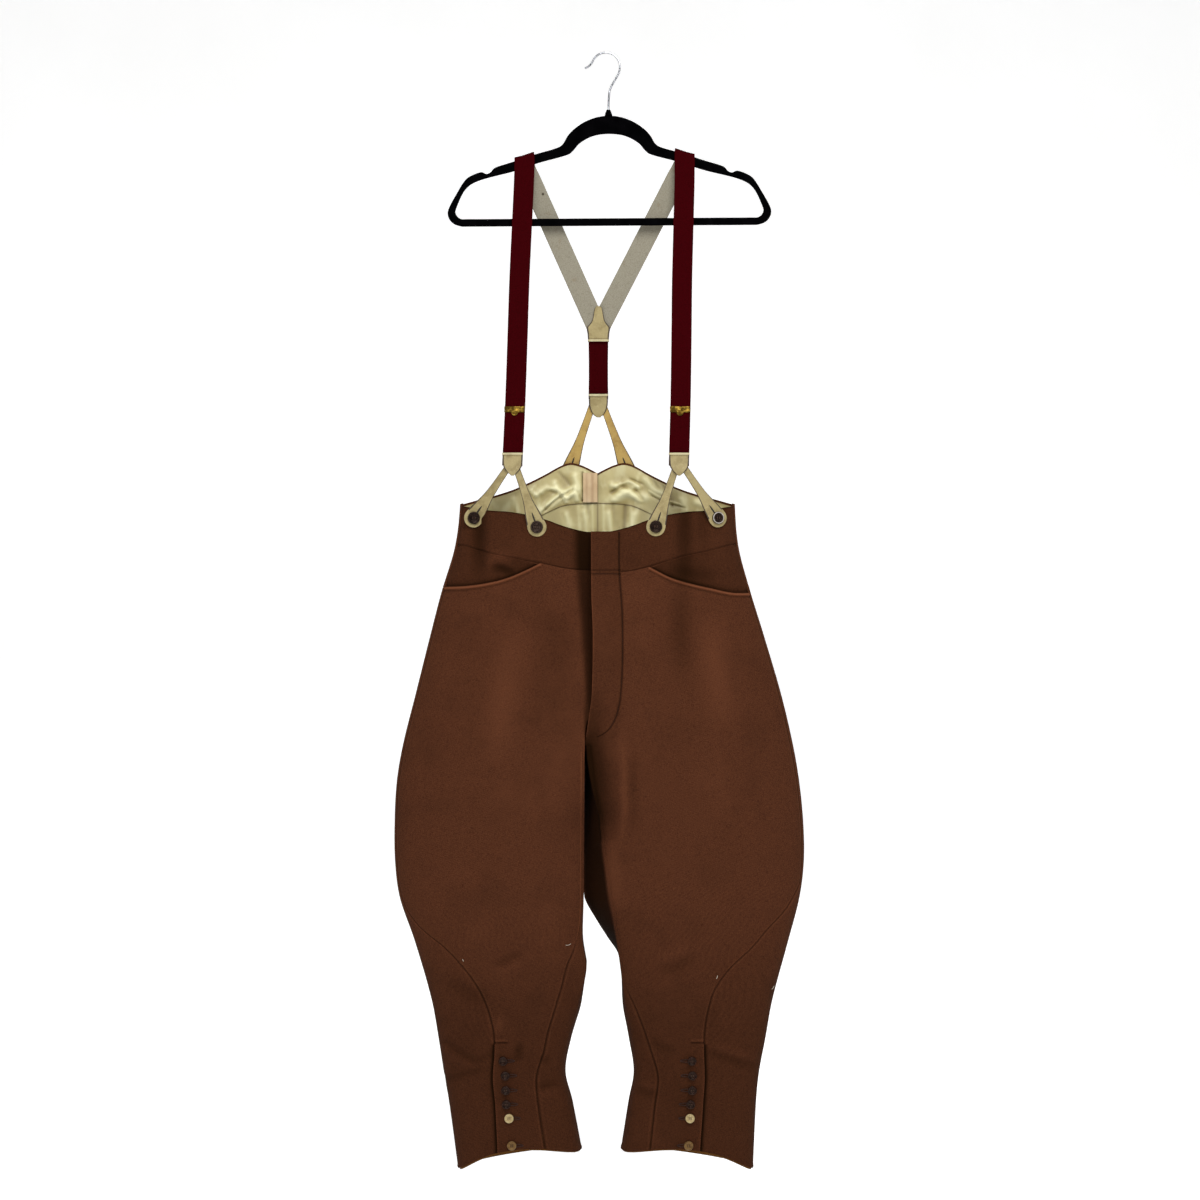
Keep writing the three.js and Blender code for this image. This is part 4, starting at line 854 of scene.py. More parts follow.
brown_thread = thread_finish("brown_thread", dye(62, 34, 24), dye(40, 20, 13))


def on_front(half, x, z, lift=0):
    """A place on a half's front by its x and level, and the direction out of the cloth there"""
    z = np.asarray(z, float)
    edge, side = read(FRONT_EDGES, half.name, z), read(SIDES, half.name, z)
    part = (np.asarray(x, float) - edge) / (side - edge)
    point, out = walk_point(half, z, part), walk_normal(half, z, part)
    raised = creased(half, "front", point[..., 0], point[..., 2])
    return (point + out * (raised + lift)[..., None]) * MM, out


levels = np.linspace(-652, -926, 220)
line, out = on_front(LEFT, read(FLY_LINE, "x", levels) - STITCH_IN, levels, 0.75)
stitches("fly_stitches", line, out, brown_thread)
for index, level in enumerate((-711.5, -716.5)):
    places = np.linspace(-18, 17, 30)
    line, out = on_front(LEFT, places, np.full(30, level), 0.65)
    stitches(f"waist_seam_stitches_{index + 1}", line, out, brown_thread)

# ---- Lining ----
# The back is lined with cream sateen. A curtain of the same sateen hangs from the top edge with
# its lower edge sewn down, and a pinkish tape stands beside the centre back seam.
LINING = 0.6
LINING_CREASES = [
    (3.5, -1.8, (-47, -600), (-68, -612), (-88, -629)),
    (4, 1.4, (-44, -594), (-64, -604), (-84, -620)),
    (3, 1.6, (-43, -597), (-52, -610)), (3, -1.6, (-39, -602), (-34, -613)),
    (2.4, -1.6, (-32.7, -575), (-32, -617)), (2, 1.0, (-29, -575), (-28.5, -617)),
    (3.5, -1.9, (8, -602), (24, -594), (41, -600)), (4, 1.5, (14, -592), (30, -586), (46, -594)),
    (3.5, -1.6, (41, -598), (50, -611)), (5, 1.2, (17, -606), (32, -603), (46, -614)),
    (4, -0.8, (-25.7, -620), (-25, -662)), (3, 1.0, (-19, -620), (-18, -662)),
    (3.5, 1.2, (-3.6, -620), (-3, -662)), (4, -0.8, (9.8, -620), (11, -662)),
    (4, -1.3, (26.6, -622), (25, -662)), (4, 0.9, (34.7, -622), (36, -655)),
    (3.5, 0.9, (-38.5, -622), (-37, -655)), (3, -1.1, (-60, -632), (-52, -655)),
    (3, -1.2, (-112, -602), (-96, -612), (-84, -626)), (3, -1.1, (62, -578), (74, -596)),
    (3.5, -1.2, (78, -590), (90, -606), (92, -622)), (3, 0.9, (-100, -594), (-88, -604)),
    (3, -1.1, (-66, -574), (-56, -584), (-50, -592)), (3, 0.8, (56, -574), (62, -590)),
    (6, 2.2, (-72, -590), (-62, -602), (-56, -616)),
    (5, 1.8, (-98, -606), (-84, -596), (-70, -598)),
    (8, 2.6, (-92, -628), (-74, -616), (-60, -606), (-44, -604)),
    (5, 1.6, (-104, -600), (-92, -618)),
    (7, 2.0, (-44, -580), (-38, -596), (-40, -612)), (6, 1.6, (-128, -612), (-122, -630)),
    (6, 2.0, (-30, -630), (-26, -650), (-30, -690)), (7, 1.8, (-56, -634), (-50, -660)),
    (6, 2.0, (8, -592), (24, -600), (44, -596)), (9, 2.4, (12, -612), (30, -604), (56, -610)),
    (6, 1.8, (54, -584), (66, -598), (84, -606)), (7, 2.0, (4, -632), (8, -656), (6, -700)),
    (8, 2.2, (40, -634), (36, -658), (42, -696)), (6, 1.6, (70, -640), (64, -664)),
    (6, 1.6, (104, -612), (112, -628)), (7, 1.6, (126, -616), (140, -622), (160, -628)),
    (1.6, -1.3, (-126.6, -604), (-127, -660)), (2.2, -1.2, (-78, -600), (-66, -606), (-58, -618)),
    (2.2, 1.2, (-76, -596), (-64, -601), (-54, -612)),
    (2, -1.1, (22, -588), (34, -583), (50, -590)),
    (2, 1.0, (60, -600), (80, -612), (104, -620)), (2, -1.0, (62, -606), (84, -618), (110, -624)),
]


def rumpled(x, z, share=1.0):
    """How far the lining stands in from the back, in soft wrinkles"""
    total = np.zeros_like(x)
    for width, height, *line in LINING_CREASES:
        points = np.array(line, float)
        best = np.full(x.shape, np.inf)
        for start, end in zip(points[:-1], points[1:]):
            run = end - start
            reach = np.clip(((x - start[0]) * run[0] + (z - start[1]) * run[1]) / (run @ run), 0, 1)
            best = np.minimum(best, np.hypot(x - start[0] - reach * run[0],
                                             z - start[1] - reach * run[1]))
        total += 0.8 * height * hump(best / width / 0.7)
    soft = np.sin(x / 7.3 + np.sin(z / 11.0)) * np.sin(z / 17.0 + x / 29.0) * 0.35
    return -share * (total * 1.5 + soft + 0.4)


def sateen_finish(name, base, light, dark, deep):
    made = Finish(name, Roughness=0.5, Specular_IOR_Level=0.35)
    stain = made.noise(24, 3, 0.5)
    cloud = made.noise(60, 2, 0.5, stretch=(1, 1, 0.6))
    thread = made.noise(1100, 2, 0.6, stretch=(1, 1, 0.25))
    colour = made.blend(dark, base, stain.fade(0.34, 0.6))
    colour = made.blend(colour, light, cloud.fade(0.5, 0.72) * 0.5)
    # painted shade: the deep colour where the mesh's shade attribute is positive, in the valleys of
    # wrinkles and folds, and the light colour as painted highlight where it is negative
    sunk = made.node("ShaderNodeAttribute", {"attribute_name": "sunk"}, out="Fac")
    colour = made.blend(colour, deep, sunk * 0.9)
    colour = made.blend(colour, light, sunk * -0.9)
    made.wire(
        Base_Color=colour, Roughness=stain * 0.25 + 0.38,
        Normal=made.bump(thread * 0.3 + cloud * 0.7, 0.0004, 0.4),
    )
    return made.material


# each sateen's last colour is the painted shade in the valleys of its wrinkles and folds
sateen = sateen_finish("cream_sateen", dye(216, 202, 143), dye(255, 248, 196), dye(190, 174, 114),
                       dye(116, 94, 50))
tape = sateen_finish("pink_tape", dye(228, 196, 150), dye(244, 218, 176), dye(204, 168, 122),
                     dye(140, 104, 66))

lined = crowded(120, 1.0, 2.0)
for half in (RIGHT, LEFT):
    top = read(BACK_TOP, "z", across(half, "back", 2 - lined, -600))
    z = mix(top - 3.2, -760, np.linspace(0, 0.75, 90)[:, None])
    walk = lined[None, :] + 0 * z
    x = walk_point(half, z, walk)[..., 0]
    middle = np.abs(x - CENTRE_X)
    loose = smooth((walk - 1) / 0.1) * smooth((top - 2 - z) / 5) * smooth((2 - walk) / 0.03)
    outer, inner = cloth_faces(half, z, walk, LINING, CLOTH + 0.4, rumpled(x, z, loose * 0.7))
    # painted shade over the lining, deeper in the valleys of its wrinkles, with painted highlight
    # on their ridges, and a dark line along the centre seam
    sunk = 0.3 + rumpled(x, z, loose) / 2.6 + 0.5 * hump(middle / 1.1)
    made = shell(f"{half.name}_lining_cloth", outer, inner, sateen, sunk=sunk)
    hang(made, f"{half.name}_lining", flat=(0.215, 0.165), area=0.0265)

    foot = read(CURTAIN_SEAM, "z", across(half, "back", 2 - lined, -600))
    z = mix(top - 3, foot, crowded(60)[:, None])
    walk = lined[None, :] + 0 * z
    x = walk_point(half, z, walk)[..., 0]
    down = lengths_along(walk_point(half, z, walk), 0)
    sewn = smooth(down / 4) * smooth((down[-1:] - down) / 5)
    loose = smooth((walk - 1) / 0.1) * smooth((2 - walk) / 0.03) * sewn
    inset = CLOTH + 0.4 + LINING + 0.3
    under = rumpled(x, z, smooth((walk - 1) / 0.1) * smooth((2 - walk) / 0.03) * 0.7)
    outer, inner = cloth_faces(half, z, walk, LINING, inset, under + rumpled(x, z, loose * 0.35))
    middle = np.abs(x - CENTRE_X)
    # a dark line along the curtain's sewn-down lower edge, for its stitching and a painted shadow
    # under the edge; painted shade and highlight in its wrinkles as on the lining
    stitched_edge_and_painted_shadow = hump((down[-1:] - down) / 1.0)
    sunk = 0.26 + rumpled(x, z, loose) / 2.8 + stitched_edge_and_painted_shadow + 0.5 * hump(middle / 1.1)
    made = shell(f"{half.name}_waist_curtain_cloth", outer, inner, sateen, sunk=sunk)
    hang(made, f"{half.name}_waist_curtain", flat=(0.2, 0.122), area=0.0114)

TAPE_WIDTH = 20
z = np.linspace(-575, -616, 40)[:, None]
over = crowded(16)[None, :]
reach = np.abs(read(SIDES, "right", z) - read(BACK_EDGES, "right", z))
walk = 2 - (over * TAPE_WIDTH + 0.3) / reach
ridges = -0.9 * hump((over - 0.45) / 0.14) - 0.7 * hump((over - 0.85) / 0.1)
ridges = ridges - 0.3 * np.sin(z / 6) * over
outer, inner = cloth_faces(RIGHT, z + 0 * walk, walk, LINING, CLOTH + 4.1, ridges, creases=False)
# painted shade beside the tape's two folds
sunk = 0.5 * hump((over - 0.35) / 0.1) + 0.4 * hump((over - 0.75) / 0.08) + 0 * z
made = shell("centre_back_strip_cloth", outer, inner, tape, sunk=sunk)
hang(made, "centre_back_strip", flat=(0.0197, 0.041))

# ---- Hem facings and calf openings ----
# Golden cotton faces the inside of each hem. The calf opening buttons over a strip of twill that
# carries the buttons, and every buttonhole is worked in brown thread.
gold_cotton = twill_finish(
    "golden_cotton", dye(116, 76, 34), dye(140, 96, 48), dye(92, 58, 24), dye(60, 36, 14)
)


def ring_walks(half, z):
    front = front_walk(half, z[:, None], front_parts[None, ::3])
    back = back_walks(half, z[:, None])[:, ::3]
    back[:, -1] = front[:, 0] + 3
    return np.concatenate([front, back], 1)


def ring_walk_rows(half, z):
    return np.stack([np.diagonal(ring_walks(half, level)) for level in z])


for half in (RIGHT, LEFT):
    feet = hem_z(ring_walks(half, np.array([-1506.0]))[0])
    z = feet[None, :] + np.linspace(-2.2, 18, 14)[:, None]
    walk = ring_walk_rows(half, z)
    outer, inner = cloth_faces(half, z, walk, 0.8, CLOTH + 0.5)
    made = shell(f"{half.name}_hem_facing_cloth", outer, inner, gold_cotton)
    hang(made, f"{half.name}_hem_facing", flat=(0.41, 0.02), area=0.0079)
    z = np.linspace(-1375, -1500, 60)[:, None]
    walk = front_walk(half, z, crowded(30, 0.5, 1.0)[None, :])
    outer, inner = cloth_faces(half, z, walk, 1.2, CLOTH + 1.4)
    made = shell(f"{half.name}_button_stand_cloth", outer, inner, twill)
    hang(made, f"{half.name}_button_stand", flat=(0.039, 0.125))

CALF_BUTTONS = [
    (-1379, -140, 116.7, "horn"), (-1399, -137, 117.5, "horn"), (-1419, -136.5, 117.2, "horn"),
    (-1438, -135.6, 115, "horn"), (-1457, -132, 114.2, "cream_button"),
    (-1494, -128.3, 112.3, "tan_button"),
]


def button(name, place, out, radius, height, hole, material, rings=26, around=48):
    """A turned button: a rounded rim, a dished middle and four holes"""
    reach = radius * MM
    spread = np.concatenate([np.linspace(0, 0.62, rings - 12), np.linspace(0.66, 1, 12)])
    turn = np.arange(around) * math.tau / around
    r, a = np.meshgrid(spread * reach, turn, indexing="ij")
    rim = 0.86 * radius
    tall = mix(0.5, 1.0, smooth((r / MM - 0.6 * radius) / (0.16 * radius)))
    tall *= 1 - smooth((r / MM - rim) / (radius - rim)) ** 3 * 0.55
    x, y = r * np.cos(a), r * np.sin(a)
    for sx in (-1, 1):
        for sy in (-1, 1):
            away = np.hypot(x - sx * hole * MM, y - sy * hole * MM) / (hole * 0.62 * MM)
            tall -= 0.5 * smooth((1.15 - away) / 0.5)
    z = tall * height * MM
    out = Vector(out)
    turned = out.to_track_quat("Z", "Y").to_matrix()
    face = np.stack([x, y, z], -1).reshape(-1, 3)
    foot = np.stack([np.cos(turn) * reach * 0.9, np.sin(turn) * reach * 0.9, 0 * turn], -1)
    points = np.concatenate([face, foot, [(0, 0, 0)]])
    quads = []
    for i in range(rings - 1):
        for j in range(around):
            k = (j + 1) % around
            ring, after = i * around, (i + 1) * around
            quads.append((ring + j, after + j, after + k, ring + k))
    last, base = (rings - 1) * around, rings * around
    middle = len(points) - 1
    for j in range(around):
        k = (j + 1) % around
        quads.append((last + j, base + j, base + k, last + k))
        quads.append((base + j, middle, middle, base + k))
    quads = [q if len(set(q)) == 4 else tuple(dict.fromkeys(q)) for q in quads]
    points = points @ np.array(turned).T + np.asarray(place)
    mesh = bpy.data.meshes.new(name)
    mesh.from_pydata(points.tolist(), [], quads)
    mesh.validate()
    clean = bmesh.new()
    clean.from_mesh(mesh)
    bmesh.ops.remove_doubles(clean, verts=clean.verts, dist=1e-7)
    bmesh.ops.recalc_face_normals(clean, faces=clean.faces)
    clean.to_mesh(mesh)
    clean.free()
    mesh.polygons.foreach_set("use_smooth", np.ones(len(mesh.polygons), bool))
    mesh.materials.append(material)
    made = bpy.data.objects.new(name, mesh)
    bpy.context.scene.collection.objects.link(made)
    return made


def horn_finish(name, base, vein, rough=0.35):
    made = Finish(
        name, Roughness=rough, Specular_IOR_Level=0.25, Specular_Tint=(0.8, 0.55, 0.45, 1)
    )
    grain = made.noise(160, 4, 0.6, stretch=(1, 1, 3))
    scuff = made.noise(900, 2, 0.5)
    made.wire(
        Base_Color=made.blend(base, vein, grain.fade(0.4, 0.72)),
        Roughness=scuff * 0.2 + (rough - 0.1), Normal=made.bump(scuff, 0.00012, 0.4),
    )
    return made.material


BUTTON_FINISH = {
    "horn": horn_finish("brown_horn", dye(15, 6, 4), dye(50, 24, 16), 0.22),
    "brace": horn_finish("dark_horn", dye(20, 13, 11), dye(48, 34, 28), 0.26),
    "cream_button": horn_finish("cream_corozo", dye(192, 170, 120), dye(214, 196, 150), 0.35),
    "tan_button": horn_finish("tan_corozo", dye(132, 102, 60), dye(100, 74, 42), 0.35),
}
dark_thread = thread_finish("dark_thread", dye(92, 66, 48), dye(58, 38, 26))


def thread_ties(name, place, out, height, hole, material):
    """The two bars of thread that cross a button between its holes"""
    turned = np.array(Vector(out).to_track_quat("Z", "Y").to_matrix())
    for index, side in enumerate((-1, 1)):
        line = [(side * hole * 0.9, y, 0.3 * height + 0.45 * height * math.cos(y / hole * 1.1))
                for y in np.linspace(-hole, hole, 9)]
        line = np.array(line) * MM @ turned.T + np.asarray(place)
        made = tube(f"{name}_{index + 1}", line, 0.42, material, 6)
        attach(made, "root")


def tube(name, line, radius, material, sides=12, radii=None):
    """A round bar along a line, closed at both ends"""
    line = np.asarray(line, float)
    run = np.gradient(line, axis=0)
    run /= np.linalg.norm(run, axis=1, keepdims=True)
    side = np.cross(run[0], (0.31, 0.94, 0.13))
    points = []
    radii = np.full(len(line), radius) if radii is None else radii
    for at, along, reach in zip(line, run, radii):
        side = side - along * (side @ along)
        side /= np.linalg.norm(side)
        up = np.cross(along, side)
        for k in range(sides):
            angle = math.tau * k / sides
            points.append(at + (side * math.cos(angle) + up * math.sin(angle)) * reach * MM)
    count = len(line)
    faces = [(i * sides + k, i * sides + (k + 1) % sides, (i + 1) * sides + (k + 1) % sides,
              (i + 1) * sides + k) for i in range(count - 1) for k in range(sides)]
    for end, at in ((0, line[0]), (count - 1, line[-1])):
        middle = len(points)
        points.append(at)
        ring = range(end * sides, end * sides + sides)
        for k in range(sides):
            pair = (ring[k], ring[(k + 1) % sides])
            faces.append((middle, *(pair if end else pair[::-1])))
    mesh = bpy.data.meshes.new(name)
    mesh.from_pydata([tuple(p) for p in points], [], faces)
    tidy = bmesh.new()
    tidy.from_mesh(mesh)
    bmesh.ops.recalc_face_normals(tidy, faces=tidy.faces)
    tidy.to_mesh(mesh)
    tidy.free()
    mesh.polygons.foreach_set("use_smooth", np.ones(len(mesh.polygons), bool))
    mesh.set_sharp_from_angle(angle=math.radians(60))
    mesh.materials.append(material)
    made = bpy.data.objects.new(name, mesh)
    bpy.context.scene.collection.objects.link(made)
    return made


for half in (RIGHT, LEFT):
    for index, (level, right_x, left_x, slot) in enumerate(CALF_BUTTONS):
        x = right_x if half is RIGHT else left_x
        place, out = on_front(half, np.array([x]), np.array([level]), 1.9)
        name = f"{half.name}_calf_button_{index + 1}"
        made = button(f"{name}_turned", place[0], out[0], 6.3, 2.5, 1.35, BUTTON_FINISH[slot])
        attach(made, "root")
        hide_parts(name)
        thread_ties(f"{name}_thread", place[0], out[0], 2.5, 1.35, dark_thread)
        # the buttonhole runs in from the button towards the inside of the leg
        turn = np.linspace(0, math.tau, 41)
        hole_x = x - half.sign * (5.5 + 10 * np.cos(turn))
        line, _ = on_front(half, hole_x, level + 1.7 * np.sin(turn), 0.5 + LAP * 0.5)
        made = tube(f"{half.name}_buttonhole_{index + 1}", line, 0.5, brown_thread, 7)
        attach(made, "root")

pale_thread = thread_finish("pale_thread", dye(226, 214, 196), dye(190, 176, 156))
LINT = [
    (RIGHT, -51.7, -1221.8, 3.4, 0.2), (LEFT, 228, -1283, 2.6, 0.8), (RIGHT, -194, -1242, 1.4, 2.2),
    (LEFT, 150.6, -1265, 2.2, 1.2),
]
for index, (half, x, level, reach, turn) in enumerate(LINT):
    step = np.linspace(-1, 1, 9)
    line_x = x + reach * step * math.cos(turn)
    line_z = level + reach * step * math.sin(turn) + 0.9 * step * step
    line, _ = on_front(half, line_x, line_z, 0.5)
    made = tube(f"loose_thread_{index + 1}", line, 0.4, pale_thread, 6)
    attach(made, "root")

# ---- Braces ----
# Two straps of webbing, burgundy outside and cream inside, hang over the hanger's shoulders and
# cross into a leather yoke behind, from which a short length of the webbing runs on down.
BRACE_HALF, BRACE_TOP_Z, HANGER_Y = 13.8, -147, 5.1
FRONT_END_Z, FRONT_END_Y, BACK_END_Z, BACK_END_Y = -570, 43, -581, 44.2
STRAP_BACK_END_Z = -381
WEBBING, LEATHER = 1.7, 1.6
BACK_X = -10.5
HANGER_X, HANGER_TILT, SHOULDER_SLOPE = 3.4, math.radians(0.35), 0.34
HANGER_OUTER = table(
    "at z", (0, -86), (17, -88), (34, -94.5), (48, -104), (57, -113.5), (64, -125), (74, -130.5),
    (102, -138.5), (129, -147.5), (156, -156), (163, -162.5), (169, -165), (176, -162.5),
    (187, -166), (198, -173), (209, -190), (221, -212), (222, -223),
)


def front_y(z):
    fallen = np.maximum((BRACE_TOP_Z - z) / (BRACE_TOP_Z - FRONT_END_Z), 0)
    return -mix(HANGER_Y, FRONT_END_Y, fallen)


def back_y(z):
    return mix(HANGER_Y, BACK_END_Y, np.maximum((BRACE_TOP_Z - z) / (BRACE_TOP_Z - BACK_END_Z), 0))


def curve_through(values, count):
    """A smooth curve through points, with its steps spread evenly along its length"""
    values = np.asarray(values, float)
    span = np.linalg.norm(np.diff(values[:, :3], axis=0), axis=1)
    run = np.concatenate([[0], np.cumsum(span)])
    at = np.linspace(0, run[-1], count)
    rows = {"at": run, **{str(k): values[:, k] for k in range(values.shape[1])}}
    return np.stack([read(rows, str(k), at) for k in range(values.shape[1])], 1)


def ribbon(name, centres, across, halves, thickness, outer_finish, inner_finish=None, edge=None,
           columns=14, round_=6, painted=0, until=1.0):
    """A flat strip round a line: a face on each side, and edges that are rounded a little"""
    centres, across = np.asarray(centres, float), np.asarray(across, float)
    run = np.gradient(centres, axis=0)
    run /= np.linalg.norm(run, axis=1, keepdims=True)
    across = across - run * (across * run).sum(1, keepdims=True)
    across /= np.linalg.norm(across, axis=1, keepdims=True)
    out = np.cross(across, run)
    place = crowded(columns, -1, 1)[None, :, None]
    level = centres[:, None] + across[:, None] * place * np.asarray(halves)[:, None, None]
    full = (1 - np.abs(place) ** round_) ** (1 / round_)
    lift = out[:, None] * thickness / 2 * mix(0.35, 1, full)
    made = shell(name, (level + lift) * MM, (level - lift) * MM, outer_finish)
    if inner_finish or edge:
        made.data.materials.append(inner_finish or outer_finish)
        made.data.materials.append(edge or outer_finish)
        cells = (len(centres) - 1) * columns
        index = np.zeros(len(made.data.polygons), int)
        index[cells:2 * cells] = 1
        index[2 * cells:] = 2
        if painted:  # the edge's paint runs onto the first columns of both faces
            row, column = np.divmod(np.arange(2 * cells) % cells, columns)
            aside = (column < painted) | (column >= columns - painted)
            index[:2 * cells][aside & (row < until * cells / columns)] = 2
            past = np.tile(np.arange(cells // columns) >= until * cells / columns, 2)
            index[2 * cells + 2 * columns:][past] = 0
        made.data.polygons.foreach_set("material_index", index)
    return made


def webbing_finish(name, base, light, dark, spots=None, mark=None):
    made = Finish(name, Roughness=0.9, Specular_IOR_Level=0.02)
    u, v = made.cloth_map()
    rib = (v * 760).wave()
    cord = (u * 700).wave()
    fleck = made.noise(700, 2, 0.6)
    colour = made.blend(dark, base, fleck.fade(0.3, 0.6))
    colour = made.blend(colour, light, (rib * 0.5 + cord * 0.5).fade(0.5, 0.95) * 0.5)
    if spots:
        colour = made.blend(colour, spots, made.noise(70, 3, 0.6).fade(0.6, 0.75) * 0.6)
    if mark:  # one small stain, by its x and level
        flat = made.node("ShaderNodeVectorMath", {"operation": "MULTIPLY"},
                         {0: made.places(), 1: (1, 0, 1)})
        away = made.node("ShaderNodeVectorMath", {"operation": "DISTANCE"},
                         {0: flat, 1: (mark[0], 0, mark[1])}, out="Value")
        colour = made.blend(colour, dye(70, 58, 44), 1 - away.fade(0.0008, 0.0026))
    made.wire(Base_Color=colour, Normal=made.bump(rib * 0.6 + cord * 0.4, 0.0004, 0.6))
    return made.material


burgundy = webbing_finish("burgundy_webbing", dye(60, 0, 5), dye(74, 0, 8), dye(48, 0, 2))
cream = webbing_finish(
    "cream_webbing", dye(162, 156, 138), dye(180, 174, 158), dye(140, 133, 116), dye(144, 128, 102),
    (-0.0869, -0.192),
)

STRAPS = [
    ("right_strap", -112, -127, -9.5, -1.15), ("left_strap", 108, 99, -12.5, 1.15),
]
OVER = [
    (-1, 14, 0.25), (-1, 5, 0.7), (-0.8, 1, 1), (0, 0, 1), (0.8, 1, 1), (1, 5, 1.1), (1, 14, 1.2),
]
for name, top_x, end_x, back_x, layer in STRAPS:
    lean = math.copysign(math.atan(SHOULDER_SLOPE), HANGER_X - top_x)
    shoulder = read(HANGER_OUTER, "z", abs(top_x - HANGER_X)) + math.tan(HANGER_TILT) * top_x
    over = shoulder + 3.2
    slope = (BACK_END_Y - HANGER_Y) / (BRACE_TOP_Z - BACK_END_Z)

    def leaning(part, outward=0.0):
        return (math.cos(lean * part), -outward * slope * math.sin(lean * part),
                math.sin(lean * part))

    rows = []
    for step in (1, 0.8, 0.6, 0.4, 0.2, 0.08):
        z = mix(BRACE_TOP_Z, FRONT_END_Z, step)
        sway = 0.8 * math.sin(step * 9 + top_x)
        rows.append((mix(top_x, end_x, step) + sway * 0.6, front_y(z), z, *leaning(0)))
    for y, drop, part in OVER:
        rows.append((top_x, y * HANGER_Y, over - drop, *leaning(part)))
    for step in (0.1, 0.3, 0.6, 0.85, 1):
        z = mix(over - 14, STRAP_BACK_END_Z, step)
        rows.append((mix(top_x, back_x, step), back_y(z) + layer * smooth(step * 1.5), z,
                     *leaning(1.2, 1)))
    path = curve_through(rows, 260)
    made = ribbon(f"{name}_webbing", path[:, :3], path[:, 3:], np.full(260, BRACE_HALF), WEBBING,
                  burgundy, cream, burgundy)
    # the burgundy face is the one that looks away from the hanger
    first = made.data.polygons[0]
    if first.normal.y > 0:
        made.data.materials[0], made.data.materials[1] = cream, burgundy
    hang(made, name, flat=(0.0276, 0.73))

z = np.linspace(-389, -472.5, 40)
centres = np.stack([BACK_X + 0 * z, back_y(z), z], 1)
waist = 13.8 - 0.5 * np.sin((z + 389) / -83.5 * math.pi)
made = ribbon("back_elastic_webbing", centres, np.tile((1, 0, 0), (40, 1)), waist, WEBBING,
              burgundy, burgundy)
hang(made, "back_elastic", flat=(0.026, 0.085))


def leather_finish(name, base, light, dark):
    made = Finish(name, Roughness=0.62, Specular_IOR_Level=0.35)
    pores = made.node(
        "ShaderNodeTexVoronoi", {"feature": "DISTANCE_TO_EDGE"},
        {"Vector": made.places(), "Scale": 900}, out="Distance",
    )
    grain = made.noise(420, 3, 0.6)
    soil = made.noise(70, 4, 0.6)
    colour = made.blend(dark, base, soil.fade(0.32, 0.6))
    colour = made.blend(colour, light, grain.fade(0.5, 0.75) * 0.5)
    made.wire(
        Base_Color=colour, Roughness=grain * 0.25 + 0.5,
        Normal=made.bump(pores.fade(0, 0.25) * 0.5 + grain, 0.0003, 0.5),
    )
    return made.material


cream_leather = leather_finish(
    "cream_leather", dye(175, 158, 107), dye(197, 182, 136), dye(151, 133, 84)
)
pale_leather = leather_finish(
    "pale_leather", dye(212, 200, 156), dye(230, 220, 184), dye(186, 172, 128)
)
tan_leather = leather_finish(
    "waxed_leather", dye(196, 162, 84), dye(212, 184, 108), dye(166, 130, 58)
)
slit_dark = leather_finish("slit_shadow", dye(26, 18, 12), dye(38, 26, 18), dye(16, 10, 6))
painted_edge = leather_finish("painted_edge", dye(70, 52, 34), dye(92, 70, 48), dye(48, 34, 22))

YOKE = table(
    "at half", (-345, 2.5), (-348, 5.2), (-356, 6.8), (-365, 9), (-370, 12.5), (-374, 16),
    (-382, 15.2), (-393, 14.4),
)
FRONT_SHIELD = table(
    "at half", (-552.8, 13.8), (-566, 13.3), (-572, 12), (-577, 8.5), (-580.5, 5), (-583.5, 1.5),
)
BACK_SHIELD = table(
    "at half", (-466, 13.2), (-480, 13), (-489, 10.5), (-494, 7), (-497.6, 2),
)


leather_thread = thread_finish("leather_thread", dye(132, 108, 70), dye(88, 68, 40))


def hanging(name, shape, x, y_at, side, turned):
    """A leather piece that hangs flat in the line of the braces, with one edge turned over"""
    z = np.linspace(shape["at"][0], shape["at"][-1], 60)
    centres = np.stack([x + 0 * z, y_at(z), z], 1)
    halves = np.maximum(read(shape, "half", z), 0.8)
    made = ribbon(f"{name}_leather", centres, np.tile((1, 0, 0), (60, 1)), halves, LEATHER,
                  cream_leather, None, painted_edge, 18, 10, painted=3)
    hang(made, name, flat=(0.028, abs(z[-1] - z[0]) * MM),
         area=float(np.sum(halves[:-1] * 2 * abs(z[1] - z[0])) * MM * MM))
    edge, way = (z[0], -1) if turned == "top" else (z[-1], 1)
    half = halves[0] if turned == "top" else halves[-1]
    z = edge + way * np.linspace(-0.4, 2.4, 9)
    centres = np.stack([x + 0 * z, y_at(z) + side * 0.5, z], 1)
    fold = ribbon(f"{name}_turned_edge", centres,
                  np.tile((1, 0, 0), (9, 1)), np.full(9, half + 0.2),
                  LEATHER + 0.8, pale_leather, None, pale_leather, 18, 8)
    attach(fold, "root")
    over = np.linspace(1.4 - half, half - 1.4, 12)
    level = edge + way * 3.8 + 0 * over
    line = np.stack([x + over, y_at(level) + side * (LEATHER / 2 + 0.1), level], 1) * MM
    stitches(f"{name}_stitches", line, np.tile((0, side, 0), (12, 1)), leather_thread,
             1.7, 2.3, 0.5)


